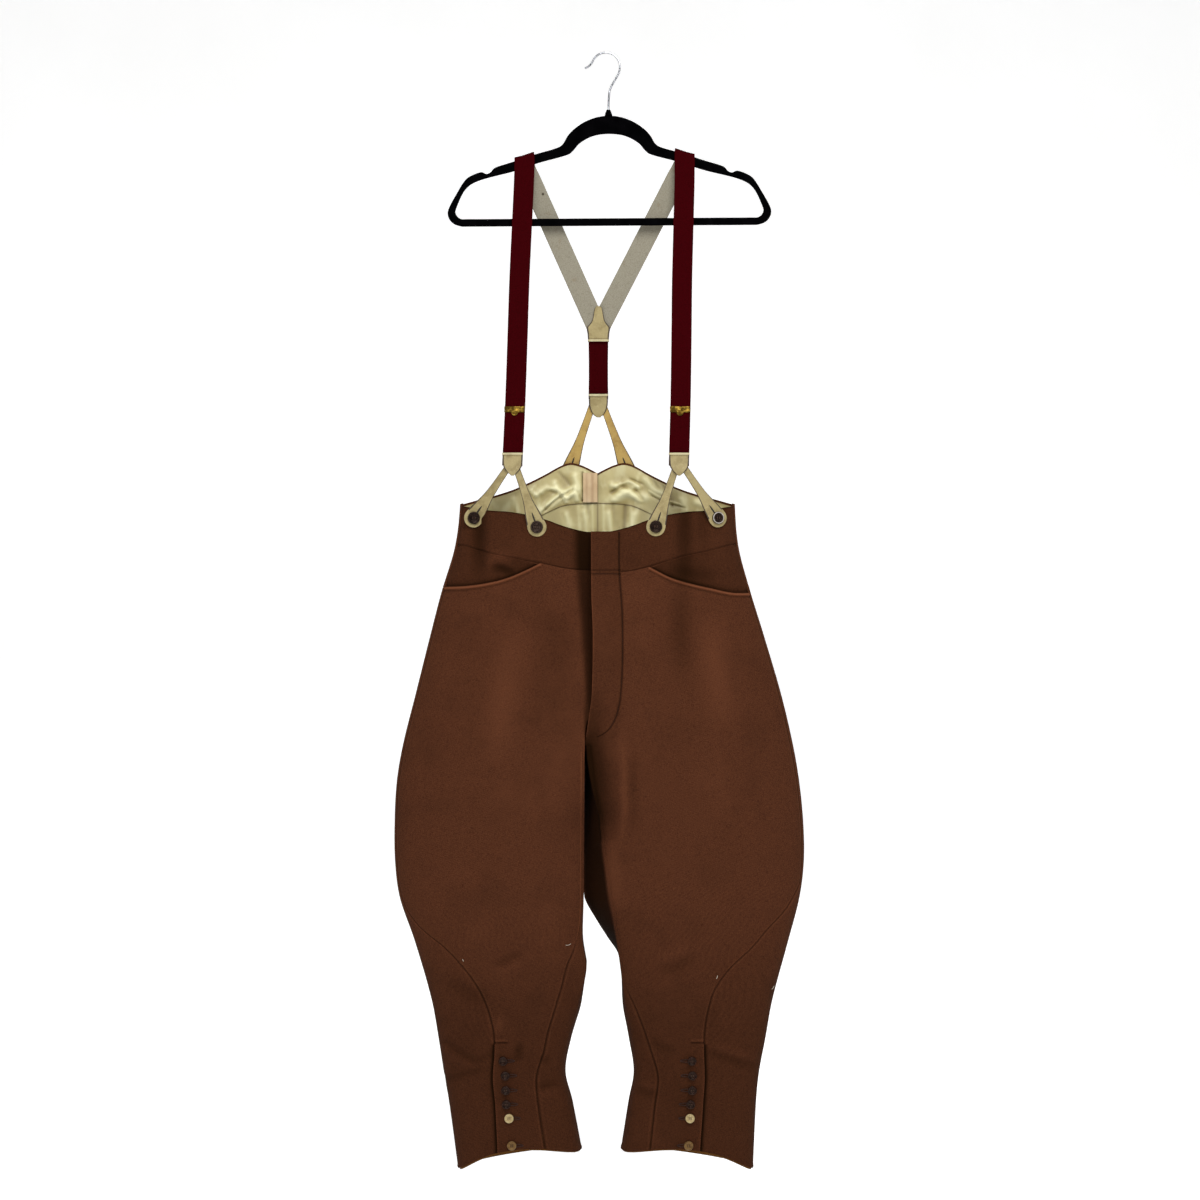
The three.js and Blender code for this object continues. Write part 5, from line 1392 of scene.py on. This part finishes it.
behind = 1.8 + GAP + LEATHER
yoke_out = behind / 2 + 1.5
shield_out = 1.8 / 2 + GAP + LEATHER / 2
for name, side in (("inner", -1), ("outer", 1)):
    hanging(f"yoke_{name}", YOKE, BACK_X, lambda z: back_y(z) + side * yoke_out, side, "bottom")
    hanging(f"back_shield_{name}", BACK_SHIELD, BACK_X, lambda z: back_y(z) + side * shield_out,
            side, "top")
for name, top_x, end_x, _, _ in STRAPS:
    x = mix(top_x, end_x, (BRACE_TOP_Z + 566) / (BRACE_TOP_Z - FRONT_END_Z))
    hanging(f"{name.split('_')[0]}_front_shield", FRONT_SHIELD, x,
            lambda z: front_y(z) - shield_out, -1, "top")

# ---- Tabs and brace buttons ----
# Leather tabs with round ends button the braces to the waistband: two from each front shield,
# and two waxed tan ones from the back shield. Each is slit above its button.
TABS = [
    ("right_outer_tab", RIGHT, -134, -182, -640, 2.4),
    ("right_inner_tab", RIGHT, -121.5, -93.7, -653, 0.9),
    ("left_inner_tab", LEFT, 94.2, 67.4, -652.5, 0.9),
    ("left_outer_tab", LEFT, 106.6, 151, -640, 2),
]
BACK_TABS = [
    ("right_back_tab", RIGHT, -17, -54, -581), ("left_back_tab", LEFT, -6, 34, -581),
]
TAB_OUTLINE = [(0, 4.6), (0.3, 5.2), (0.55, 6.6), (0.8, 10.5)]
TAB_END = [(-5, 12.4), (0, 13), (5, 12), (9, 9.4), (12, 5), (13, 1.2)]


def on_back(half, x, z):
    edge = read(BACK_EDGES, half.name, z)
    part = (x - edge) / (read(SIDES, half.name, z) - edge)
    place = np.array([2 - part])
    return walk_point(half, np.array([z]), place)[0], walk_normal(half, np.array([z]), place)[0]


def tab(name, start, point, out, stand_off, finish, rim):
    end = point + out * (stand_off + LEATHER / 2)
    reach = end - start
    along = reach / np.linalg.norm(reach)
    shield_face = np.array([0, math.copysign(1, out[1]), 0])
    rows = []
    for at, half in TAB_OUTLINE:
        face = mix(shield_face, out, at)
        side = np.cross(face / np.linalg.norm(face), along)
        rows.append((*(start + reach * at), *side, half))
    lie = along - out * (along @ out)
    lie /= np.linalg.norm(lie)
    side = np.cross(out, along)
    for beyond, half in TAB_END:
        rows.append((*(end + lie * beyond), *side, half))
    path = curve_through(rows, 96)
    made = ribbon(f"{name}_leather", path[:, :3], path[:, 3:6],
                  np.maximum(path[:, 6], 0.6), LEATHER,
                  finish, None, rim, columns=18, round_=12, painted=3, until=0.8)
    length = np.linalg.norm(np.diff(path[:, :3], axis=0), axis=1)
    area = float(np.sum(length * 2 * path[1:, 6])) * MM * MM
    hang(made, name, flat=(0.026, float(length.sum()) * MM), area=area)
    # the slit runs up from the button; behind, its upper end shows on the inside
    first, last, face = (7.5, 21, out) if out[1] < 0 else (19, 30, -out)
    slit = np.stack([
        end - along * at + face * (LEATHER / 2) for at in np.linspace(first, last, 12)
    ])
    slit = slit * MM
    wide = 1.0 * np.sin(np.linspace(0.5, math.pi, 12)) ** 0.5 + 0.1
    cut = tube(f"{name}_slit", slit, 0.9, slit_dark, 8, wide)
    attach(cut, "root")
    seat = (end + out * (LEATHER / 2 + 0.4)) * MM
    made = button(f"{name}_button_turned", seat, out, 8.6, 3.2, 1.8, BUTTON_FINISH["brace"])
    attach(made, "root")
    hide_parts(f"{name}_button")
    thread_ties(f"{name}_button_thread", seat, out, 3.2, 1.8, dark_thread)
    if name == "left_outer_tab":  # a pale ring lies on one button's rim
        turn = np.linspace(0, math.tau, 61)
        ring = np.stack([7.3 * np.cos(turn), 7.3 * np.sin(turn), 3.0 + 0 * turn], -1) * MM
        ring = ring @ np.array(Vector(out).to_track_quat("Z", "Y").to_matrix()).T + seat
        pale = tube(f"{name}_button_rim", ring, 0.7, RIM, 8)
        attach(pale, "root")


RIM = horn_finish("worn_rim", dye(176, 168, 160), dye(214, 208, 200), 0.3)


for name, half, start_x, x, level, stand_off in TABS:
    start = np.array([start_x, front_y(-573.5), -573.5])
    point, out = on_front(half, np.array([x]), np.array([level]))
    tab(name, start, point[0] / MM, out[0], stand_off + 0.3, cream_leather, painted_edge)
for name, half, start_x, x, level in BACK_TABS:
    start = np.array([start_x, back_y(-475.5), -475.5])
    point, out = on_back(half, x, level)
    tab(name, start, point, out, 1.8, tan_leather, painted_edge)

# ---- Strap adjusters ----
# A gilt spring clip, pressed from sheet brass, grips each front strap above its shield. Its catch
# hangs below as a small round tongue, and sliding it along the strap sets the braces' length.
ADJUSTER_Z, TONGUE = -493, 4.6


def gilt_finish(name):
    made = Finish(name, Metallic=1.0)
    scratch = made.noise(500, 3, 0.6, stretch=(1, 1, 8))
    pale = made.noise(120, 3, 0.6)
    made.wire(
        Base_Color=made.blend(shade(46, 33, 8), shade(132, 106, 42), pale.fade(0.46, 0.72)),
        Roughness=scratch * 0.2 + 0.3, Normal=made.bump(scratch, 0.0001, 0.4),
    )
    return made.material


gilt = gilt_finish("gilt_brass")
for name, top_x, end_x, _, _ in STRAPS:
    side = name.split("_")[0]
    x = mix(top_x, end_x, (BRACE_TOP_Z - ADJUSTER_Z) / (BRACE_TOP_Z - FRONT_END_Z))
    outline = [(-14, 4), (14, 4), (14, -4), (TONGUE, -4)]
    outline += [
        (TONGUE * math.cos(a), -4 - TONGUE * math.sin(a)) for a in np.linspace(0.1, 3.04, 20)
    ]
    outline += [(-TONGUE, -4), (-14, -4)]
    plate = bmesh.new()
    ring = [plate.verts.new((px * MM, 0, pz * MM)) for px, pz in outline]
    face = plate.faces.new(ring)
    raised = bmesh.ops.extrude_face_region(plate, geom=[face])["geom"]
    bmesh.ops.translate(plate, vec=(0, -1.1 * MM, 0),
                        verts=[v for v in raised if isinstance(v, bmesh.types.BMVert)])
    for centre in (1.9, -1.9):
        bar = bmesh.ops.create_cube(plate, size=1)["verts"]
        for vert in bar:
            vert.co = (vert.co.x * 27 * MM, vert.co.y * 0.9 * MM - 1.2 * MM,
                       vert.co.z * 1.3 * MM + centre * MM)
    bmesh.ops.recalc_face_normals(plate, faces=plate.faces)
    bmesh.ops.bevel(plate, geom=plate.edges[:], offset=0.25 * MM, segments=2, affect="EDGES")
    mesh = bpy.data.meshes.new(f"{side}_adjuster_clip")
    plate.to_mesh(mesh)
    plate.free()
    mesh.materials.append(gilt)
    made = bpy.data.objects.new(f"{side}_adjuster_clip", mesh)
    bpy.context.scene.collection.objects.link(made)
    tilt = math.atan2(front_y(ADJUSTER_Z - 1) - front_y(ADJUSTER_Z), 1)
    mesh.transform(Matrix.Translation((x * MM, (front_y(ADJUSTER_Z) - 1.4) * MM, ADJUSTER_Z * MM))
                   @ Matrix.Rotation(tilt, 4, "X"))
    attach(made, "root")
    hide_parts(f"{side}_adjuster")

# ---- Hanger ----
# The hanger is moulded in one piece and covered in black flock, with a chromed wire hook that
# turns in a small collar at its middle.
HANGER_THICK = 6
HANGER_RING_OUTER = [
    (0, -86), (17, -88), (34, -94.5), (48, -104), (57, -113.5), (64, -125), (74, -130.5),
    (102, -138.5), (129, -147.5), (156, -156), (163, -162.5), (169, -165), (176, -162.5),
    (187, -166), (198, -173), (209, -190), (221, -212), (222, -223), (216, -232), (205, -236.5),
    (190, -237), (120, -237),
]
HANGER_RING_INNER = [
    (0, -110.5), (22, -113.5), (40, -123), (50, -134), (60, -140), (97, -150), (130, -161),
    (178, -173.5), (198, -186), (210, -210), (211.5, -219), (205, -226.3), (190, -227), (120, -227),
]


def flock_finish(name):
    made = Finish(name, Roughness=1.0, Specular_IOR_Level=0.0)
    pile = made.noise(1500, 3, 0.7)
    brushed = made.noise(60, 3, 0.6)
    raised = (pile * 0.6 + brushed * 0.4).fade(0.35, 0.75)
    colour = made.blend(dye(2, 2, 3), dye(13, 12, 14), raised)
    made.wire(Base_Color=colour, Normal=made.bump(pile, 0.0006, 0.8))
    return made.material


flock = flock_finish("black_flock")


def closed_curve(rows, steps=6):
    """A mirrored outline of the hanger as a smooth closed ring of x and z"""
    right = np.array(rows, float)
    ring = np.concatenate([right, (right[1:] * (-1, 1))[::-1]])
    before, after, beyond = np.roll(ring, 1, 0), np.roll(ring, -1, 0), np.roll(ring, -2, 0)
    fine = []
    for t in np.arange(steps) / steps:
        fine.append(0.5 * (2 * ring + (after - before) * t
                           + (2 * before - 5 * ring + 4 * after - beyond) * t * t
                           + (3 * ring - before - 3 * after + beyond) * t**3))
    return np.stack(fine, 1).reshape(-1, 2)


def moved_in(ring, distance):
    run = np.roll(ring, -1, 0) - np.roll(ring, 1, 0)
    run /= np.linalg.norm(run, axis=1, keepdims=True)
    return ring + np.stack([run[:, 1], -run[:, 0]], 1) * distance


EDGE_ROUND = 1.7
bends = np.linspace(0, math.pi / 2, 6)
levels = [(EDGE_ROUND * (1 - math.cos(a)), HANGER_THICK / 2 - EDGE_ROUND * (1 - math.sin(a)))
          for a in bends[::-1]]
levels += [(inset, -y) for inset, y in levels[::-1]]
points, faces, caps = [], [], {0: [], len(levels) - 1: []}
for rows, inward in ((HANGER_RING_OUTER, 1), (HANGER_RING_INNER, -1)):
    ring = closed_curve(rows)
    count, base = len(ring), len(points)
    for index, (inset, y) in enumerate(levels):
        loop = moved_in(ring, inset * inward)
        if index in caps:
            caps[index].append((len(points), loop))
        points += [(px, y, pz) for px, pz in loop]
    for i in range(len(levels) - 1):
        for k in range(count):
            n = (k + 1) % count
            faces.append((base + i * count + k, base + i * count + n,
                          base + (i + 1) * count + n, base + (i + 1) * count + k))
for loops in caps.values():
    flat = [[Vector((px, pz, 0)) for px, pz in loop] for _, loop in loops]
    numbers = [start + k for start, loop in loops for k in range(len(loop))]
    faces += [tuple(numbers[k] for k in tri) for tri in tessellate_polygon(flat)]
mesh = bpy.data.meshes.new("hanger_body")
mesh.from_pydata((np.array(points) * MM).tolist(), [], faces)
clean = bmesh.new()
clean.from_mesh(mesh)
bmesh.ops.recalc_face_normals(clean, faces=clean.faces)
clean.to_mesh(mesh)
clean.free()
mesh.transform(Matrix.Rotation(-HANGER_TILT, 4, "Y") @ Matrix.Translation((HANGER_X * MM, 0, 0)))
mesh.materials.append(flock)
mesh.polygons.foreach_set("use_smooth", np.ones(len(mesh.polygons), bool))
mesh.set_sharp_from_angle(angle=math.radians(40))
made = bpy.data.objects.new("hanger_body", mesh)
bpy.context.scene.collection.objects.link(made)
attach(made, "root")
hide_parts("hanger")

HOOK_LINE = [
    (3.4, -85), (3.7, -65), (5.5, -50), (12, -37), (17.5, -27), (19.3, -17.5), (16.5, -8),
    (9.5, -1.2), (0, 1.4), (-9.5, -1), (-16, -6.5), (-19.6, -13), (-24, -17.8), (-29.4, -20.5),
]


def chrome_finish(name):
    made = Finish(name, Metallic=1.0)
    haze = made.noise(300, 3, 0.6, stretch=(1, 1, 0.2))
    made.wire(
        Base_Color=made.blend(shade(104, 106, 110), shade(176, 178, 182), haze.fade(0.3, 0.7)),
        Roughness=haze * 0.15 + 0.12, Normal=made.bump(haze, 0.00008, 0.4),
    )
    return made.material


path = curve_through([(x, 0, z) for x, z in HOOK_LINE], 160) * MM
radii = np.full(160, 1.4)
radii[:3], radii[-3:] = (0.9, 1.25, 1.38), (1.38, 1.25, 0.9)
made = tube("hook_wire", path, 1.4, chrome_finish("chromed_wire"), 18, radii)
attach(made, "root")
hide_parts("hook")

COLLAR_PROFILE = [(1.75, 0), (5.2, 0), (5.0, 1.4), (4.2, 4.2), (3.2, 6.8), (2.6, 8), (1.9, 8.05)]
around = 40
collar_points = [(HANGER_X * MM + r * MM * math.cos(a), r * MM * math.sin(a), (-85.7 + h) * MM)
                 for r, h in COLLAR_PROFILE for a in np.arange(around) * math.tau / around]
count = len(COLLAR_PROFILE)
collar_faces = [(i * around + k, i * around + (k + 1) % around,
                 ((i + 1) % count) * around + (k + 1) % around, ((i + 1) % count) * around + k)
                for i in range(count) for k in range(around)]
made = mesh_object("hook_collar_cone", collar_points, collar_faces, flock)
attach(made, "root")
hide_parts("hook_collar")

# ---- Studio ----
# A plain pale sweep stands behind and below the garment, which hangs clear of it. The light is
# soft and comes from the front, a little from above.
floor_finish = Finish(
    "pale_floor", Roughness=0.9, Specular_IOR_Level=0.1, Emission_Color=(1, 1, 1, 1),
    Emission_Strength=0.5,
)
floor_finish.wire(Base_Color=floor_finish.blend(
    shade(244, 244, 243), shade(250, 250, 250), floor_finish.noise(1.5).fade(0.3, 0.7)
))
SWEEP = [(-8, -1.64), (2.5, -1.64), (3.6, -1.45), (4.2, -0.9), (4.4, 0), (4.4, 5)]
profile = np.array(SWEEP)
floor_points = [(x, y, z) for y, z in profile for x in (-8, 8)]
floor_faces = [(2 * i, 2 * i + 1, 2 * i + 3, 2 * i + 2) for i in range(len(profile) - 1)]
floor = mesh_object("floor", floor_points, floor_faces, floor_finish.material)

FRONT_ROOM = 0.12
# The room is bright behind the garment and dimmer in front, where the lamps are.
world = bpy.data.worlds.new("studio")
world.use_nodes = True
nodes, links = world.node_tree.nodes, world.node_tree.links
where = nodes.new("ShaderNodeTexCoord")
apart = nodes.new("ShaderNodeSeparateXYZ")
ramp = nodes.new("ShaderNodeMapRange")
ramp.interpolation_type = "SMOOTHSTEP"
for key, value in {"From Min": -0.6, "From Max": 0.5, "To Min": FRONT_ROOM, "To Max": 1.0}.items():
    ramp.inputs[key].default_value = value
links.new(where.outputs["Generated"], apart.inputs[0])
links.new(apart.outputs["Y"], ramp.inputs["Value"])
links.new(ramp.outputs["Result"], nodes["Background"].inputs["Strength"])
nodes["Background"].inputs["Color"].default_value = (1, 1, 1, 1)
bpy.context.scene.world = world
bpy.context.scene.view_settings.view_transform = "Standard"

LAMPS = [
    ("key", (0.4, -1.9, 0.9), 1.3, 32, 110),
    ("fill", (-0.9, -3.4, -0.1), 1.6, 10.5, 90),
]
for name, place, size, power, spread in LAMPS:
    lamp = bpy.data.lights.new(name, "AREA")
    lamp.size, lamp.energy, lamp.spread = size, power, math.radians(spread)
    made = bpy.data.objects.new(name, lamp)
    made.location = place
    made.rotation_euler = (Vector((0, 0, -0.9)) - Vector(place)).to_track_quat("-Z", "Y").to_euler()
    bpy.context.scene.collection.objects.link(made)

SENSOR, REACH, FRAME_WIDTH = 36, 3000, 1651.2  # the width that the frame takes in at the garment
camera = bpy.data.cameras.new("camera")
camera.lens = SENSOR * REACH / FRAME_WIDTH
camera.clip_end = 50
stand = bpy.data.objects.new("camera", camera)
stand.location = (-0.00826, -3.0, -0.752)
stand.rotation_euler = (math.pi / 2, 0, 0)
bpy.context.scene.collection.objects.link(stand)
bpy.context.scene.camera = stand
